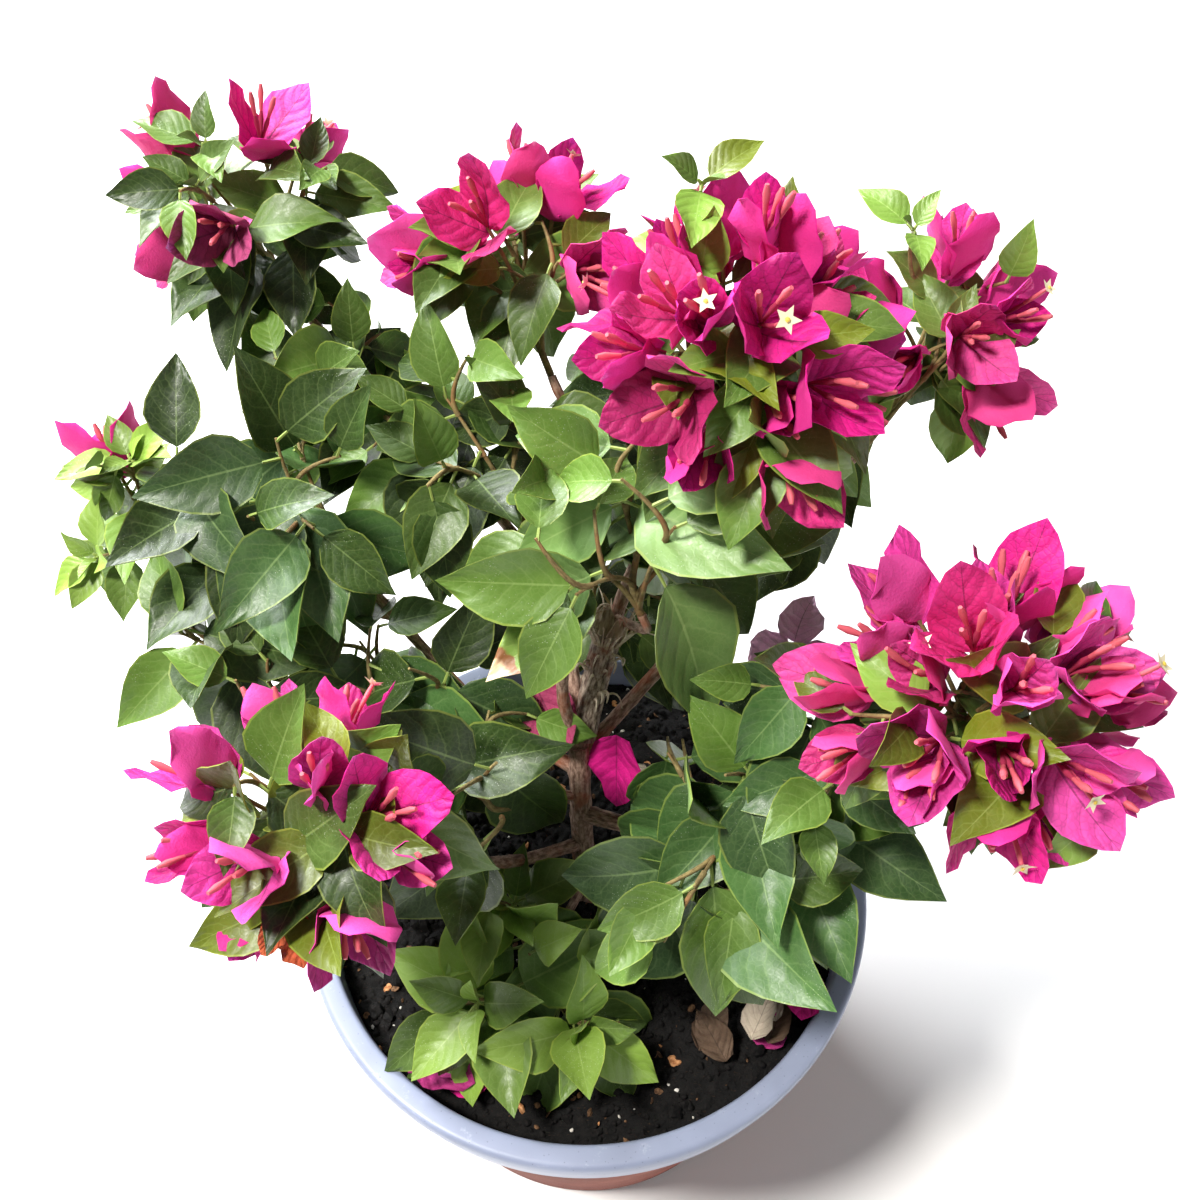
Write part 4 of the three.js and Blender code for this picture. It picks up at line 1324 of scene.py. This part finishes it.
def make_foliage(growths):
    leaves = {tone: Batch() for tone in LEAF_TONES}
    bracts = {tone: Batch() for tone in BRACT_TONES}
    twigs, stalks, flowers = Batch(), Batch(), Batch()

    def lay_leaves(branch, blades, chance):
        for blade in blades:
            lay_leaf(leaves, stalks, blade, leaf_tone(branch, blade.youth, chance), chance)

    def lay_shoots(branch, shoots, chance):
        for path, blades in shoots:
            twig_tube(twigs, path, TWIG.radius, TWIG.fine_radius)
            lay_leaves(branch, blades, chance)

    for growth in growths:
        chance = random.Random(growth.branch.seed)
        twig_tube(twigs, smooth_path(growth.stem, 14), TWIG.stem_radius, TWIG.radius)
        lay_shoots(growth.branch, growth.shoots, chance)
        for head in growth.heads:
            start, foot = head.path
            bow = leaning((foot - start).normalized(), math.pi / 2, chance.uniform(0, 6.28)) * 3
            twig_tube(twigs, arc(start, mix(start, foot, 0.5) + bow, foot), 1.0, 0.8)
            for bract in head.bracts:
                slots = parts_of(chance.randrange(len(VARIANTS)))
                lay_blade(bracts[head.tone], bract, BRACT, slots, chance)
            lay_leaves(growth.branch, head.leaves, chance)
            lay_flower(flowers, head, chance)
        lay_shoots(growth.branch, growth.sprigs, chance)
    masses = ["foliage_" + branch.name for branch in BRANCHES]
    flowering = ["foliage_" + branch.name for branch in BRANCHES if branch.heads]
    twig_bark = bark("twig_bark", (98, 84, 52), (146, 130, 84), (138, 92, 56))
    twigs.piece("twigs", [twig_bark], "bark", masses, 70, "limb")
    stalk_skin = skin_finish("leaf_stalks", (132, 150, 74), 0.5, 0.4, 0.1)
    stalks.piece("leaf_stalks", [stalk_skin], "foliage", sharp=70)
    for tone, rgb in LEAF_TONES.items():
        leaves[tone].piece("leaves_" + tone, leaf_finishes(tone, rgb), "foliage", masses, map_name="blade")
    for tone, rgb in BRACT_TONES.items():
        finishes = bract_finishes(tone, rgb)
        bracts[tone].piece("bracts_" + tone, finishes, "blossom_spray", flowering, map_name="blade")
    skins = [skin_finish("flower_" + part, rgb, *gloss, 0.15, 0.1) for part, rgb, *gloss in FLOWER_SKINS]
    flowers.piece("flower_tubes", skins, "blossom_spray")


# ---- Fallen leaves and bracts ----

DRY_TONES = {
    "brown": (98, 78, 62),
    "pale": (184, 170, 152),
    "rust": (188, 88, 52),
    # The dusky tone is far paler than the bract's own mauve: painted light that lifts the caught dusky head
    # out of the crown's shade.
    "dusky": (248, 196, 232),
    "faded": (170, 48, 116),
}
FALLEN_LEAVES = ["brown", "pale"]
FALLEN_BRACTS = ["magenta", "orchid", "plum", "rust", "dusky", "faded"]

# What lies on the soil: tone, place, height over it, the way it points in degrees, how far it rises, length.
ON_SOIL = [
    ("faded", (-75, -79), 4, 326, 0.25, 35), ("magenta", (-60, -92), 5, 15, 0.25, 27),
    ("magenta", (97, -44), 8, 262, 0.4, 30), ("orchid", (48, -24), 3, 200, 0.1, 26),
    ("faded", (86, -76), 3, 130, 0.2, 24), ("dusky", (101, -40), 3, 110, 0.3, 30),
    ("brown", (48, -82), 4, 66, 0.3, 30), ("brown", (62, -86), 4, 122, 0.35, 28),
    ("brown", (90, -30), 5, 100, 0.2, 36), ("pale", (70, -78), 6, 60, 0.4, 28),
    ("pale", (84, -70), 7, 110, 0.4, 28), ("brown", (78, -78), 4, 60, 0.3, 26),
    ("pale", (94, -18), 4, 70, 0.2, 34), ("brown", (20, 44), 4, 340, 0.2, 36),
    ("pale", (34, 60), 4, 200, 0.2, 32), ("brown", (-88, 30), 3, 120, 0.2, 36),
    ("faded", (-40, 84), 3, 250, 0.2, 30), ("pale", (-14, 96), 4, 30, 0.2, 34),
]

# One leaf on the live stem beside the stub has its tip dried out.
DRY_TIPPED = Blade(Vector(LIVE_STEM.line[-1]), Vector((-33, -32, 6)).normalized(), 0.1, 47, LIGHT)

# What is caught among the branches: tone, place, the way it points, the way it faces and its length.
CAUGHT = [
    ("magenta", (13, 20, 279), (0.02, -0.4, -0.9), (-0.5, -0.7, 0.4), 36),
    ("plum", (-22, 38, 292), (0.3, -0.4, -0.4), (0.1, -0.7, 0.7), 32),
    ("dusky", (86, 52, 300), (-0.7, -0.5, 0.1), (0, -0.5, 0.8), 30),
    ("dusky", (88, 50, 300), (0.6, -0.6, -0.1), (0, -0.5, 0.8), 30),
    ("dusky", (88, 52, 301), (0.1, 0.3, 0.8), (0, -0.8, 0.5), 28),
    ("rust", (-96, -84, 335), (0.1, -0.5, -0.8), (0, -0.9, 0.4), 19),
    ("rust", (-97, -84, 336), (-0.6, -0.5, -0.5), (0, -0.9, 0.4), 14),
    ("rust", (-95, -84, 336), (0.6, -0.4, -0.5), (0, -0.9, 0.4), 17),
]


def fallen_finishes(tones):
    """Three slots for each tone: the upper face, the edge and the underside."""
    finishes = []
    for tone in tones:
        rgb = DRY_TONES.get(tone) or BRACT_TONES[tone]
        finishes += [
            blade_finish(f"fallen_{tone}", rgb, shade(rgb, 0.7), shade(rgb, 0.9), DRY_LOOK),
            skin_finish(f"fallen_{tone}_edge", shade(rgb, 0.9), 0.75, 0.2, 0.3),
            skin_finish(f"fallen_{tone}_underside", toward(rgb, (200, 180, 160), 0.3), 0.75, 0.2, 0.4),
        ]
    return finishes


def make_litter():
    """Fallen bracts and dry curled leaves on the soil, and the few that are caught among the branches."""
    chance = random.Random(21)
    blades = []
    for tone, (x, y), lift, turn, raised, length in ON_SOIL:
        flat = Vector((math.cos(math.radians(turn)), math.sin(math.radians(turn)), raised))
        root = Vector((x, y, soil_height(x, y) + lift))
        blades.append((tone, Blade(root, flat.normalized(), chance.uniform(-0.5, 0.5), length, UP)))
    for tone, root, heading, facing, length in CAUGHT:
        blades.append((tone, Blade(Vector(root), Vector(heading).normalized(), 0, length, Vector(facing))))
    leaves, bracts = Batch(), Batch()
    for tone, blade in blades:
        is_leaf = tone in FALLEN_LEAVES
        batch, tones = (leaves, FALLEN_LEAVES) if is_leaf else (bracts, FALLEN_BRACTS)
        form = DRY_LEAF if is_leaf else DRY_BRACT if tone in DRY_TONES else BRACT
        slot = 3 * tones.index(tone)
        lay_blade(batch, blade, form, range(slot, slot + 3), chance)
    last = 3 * len(FALLEN_LEAVES)
    lay_blade(leaves, DRY_TIPPED, LEAF, range(last, last + 3), chance)
    tip = blade_finish("leaf_dry_tip", (104, 134, 56), (140, 160, 84), (150, 166, 76), LEAF_LOOK, 0.2)
    leaf_skins = [*fallen_finishes(FALLEN_LEAVES), tip, *leaf_finishes("mid", LEAF_TONES["mid"])[3:]]
    leaves.piece("fallen_leaves", leaf_skins, "foliage", map_name="blade")
    bracts.piece("fallen_bracts", fallen_finishes(FALLEN_BRACTS), "blossom_spray", map_name="blade")


# ---- Stage ----

# The lamps: name, place in metres, size, power and tint. All of them aim at the crown.
LAMPS = [
    ("window", (-0.9, 0.9, 1.3), 0.9, 72, (0.96, 0.98, 1)),
    ("sun", (-0.8, -0.3, 1.9), 0.35, 54, (1, 0.97, 0.92)),
    ("fill", (1.5, -0.9, 0.9), 1.2, 9, (1, 1, 1)),
]
CROWN = Vector((0, 0.03, 0.3))
SKY = SimpleNamespace(tint=(0.95, 0.98, 1, 1), strength=0.14)
CAMERA = SimpleNamespace(place=(0.0062, -0.245, 0.710), tilt=38, lens=36)
FLOOR = SimpleNamespace(half=4, tint=(0.93, 0.93, 0.93, 1))


def make_floor():
    corners = [(x * FLOOR.half, y * FLOOR.half, 0) for x, y in [(-1, -1), (1, -1), (1, 1), (-1, 1)]]
    mesh = bpy.data.meshes.new("floor")
    mesh.from_pydata(corners, [], [[0, 1, 2, 3]])
    mesh.materials.append(Finish("floor", Base_Color=FLOOR.tint, Roughness=0.8).material)
    link_in(bpy.data.objects.new("floor", mesh))


def make_stage():
    make_floor()
    for name, place, size, power, tint in LAMPS:
        lamp = bpy.data.lights.new(name, "AREA")
        lamp.shape = "DISK"
        lamp.size = size
        lamp.energy = power
        lamp.color = tint
        light = link_in(bpy.data.objects.new(name, lamp))
        light.location = place
        light.rotation_euler = (CROWN - Vector(place)).to_track_quat("-Z", "Y").to_euler()
    world = bpy.data.worlds.new("studio")
    world.use_nodes = True
    background = world.node_tree.nodes["Background"].inputs
    background["Color"].default_value = SKY.tint
    background["Strength"].default_value = SKY.strength
    camera = link_in(bpy.data.objects.new("camera", bpy.data.cameras.new("camera")))
    camera.data.lens = CAMERA.lens
    camera.data.sensor_width = 36
    camera.location = CAMERA.place
    camera.rotation_euler = Euler((math.radians(CAMERA.tilt), 0, 0))
    scene = bpy.context.scene
    scene.world = world
    scene.camera = camera
    scene.view_settings.view_transform = "Standard"


# ---- Assembly ----

make_pot()
make_collar()
make_grains(make_soil())
paths = limb_paths()
make_limbs(paths)
make_foliage([grow_mass(branch, paths[branch.name]) for branch in BRANCHES])
make_litter()
make_stage()
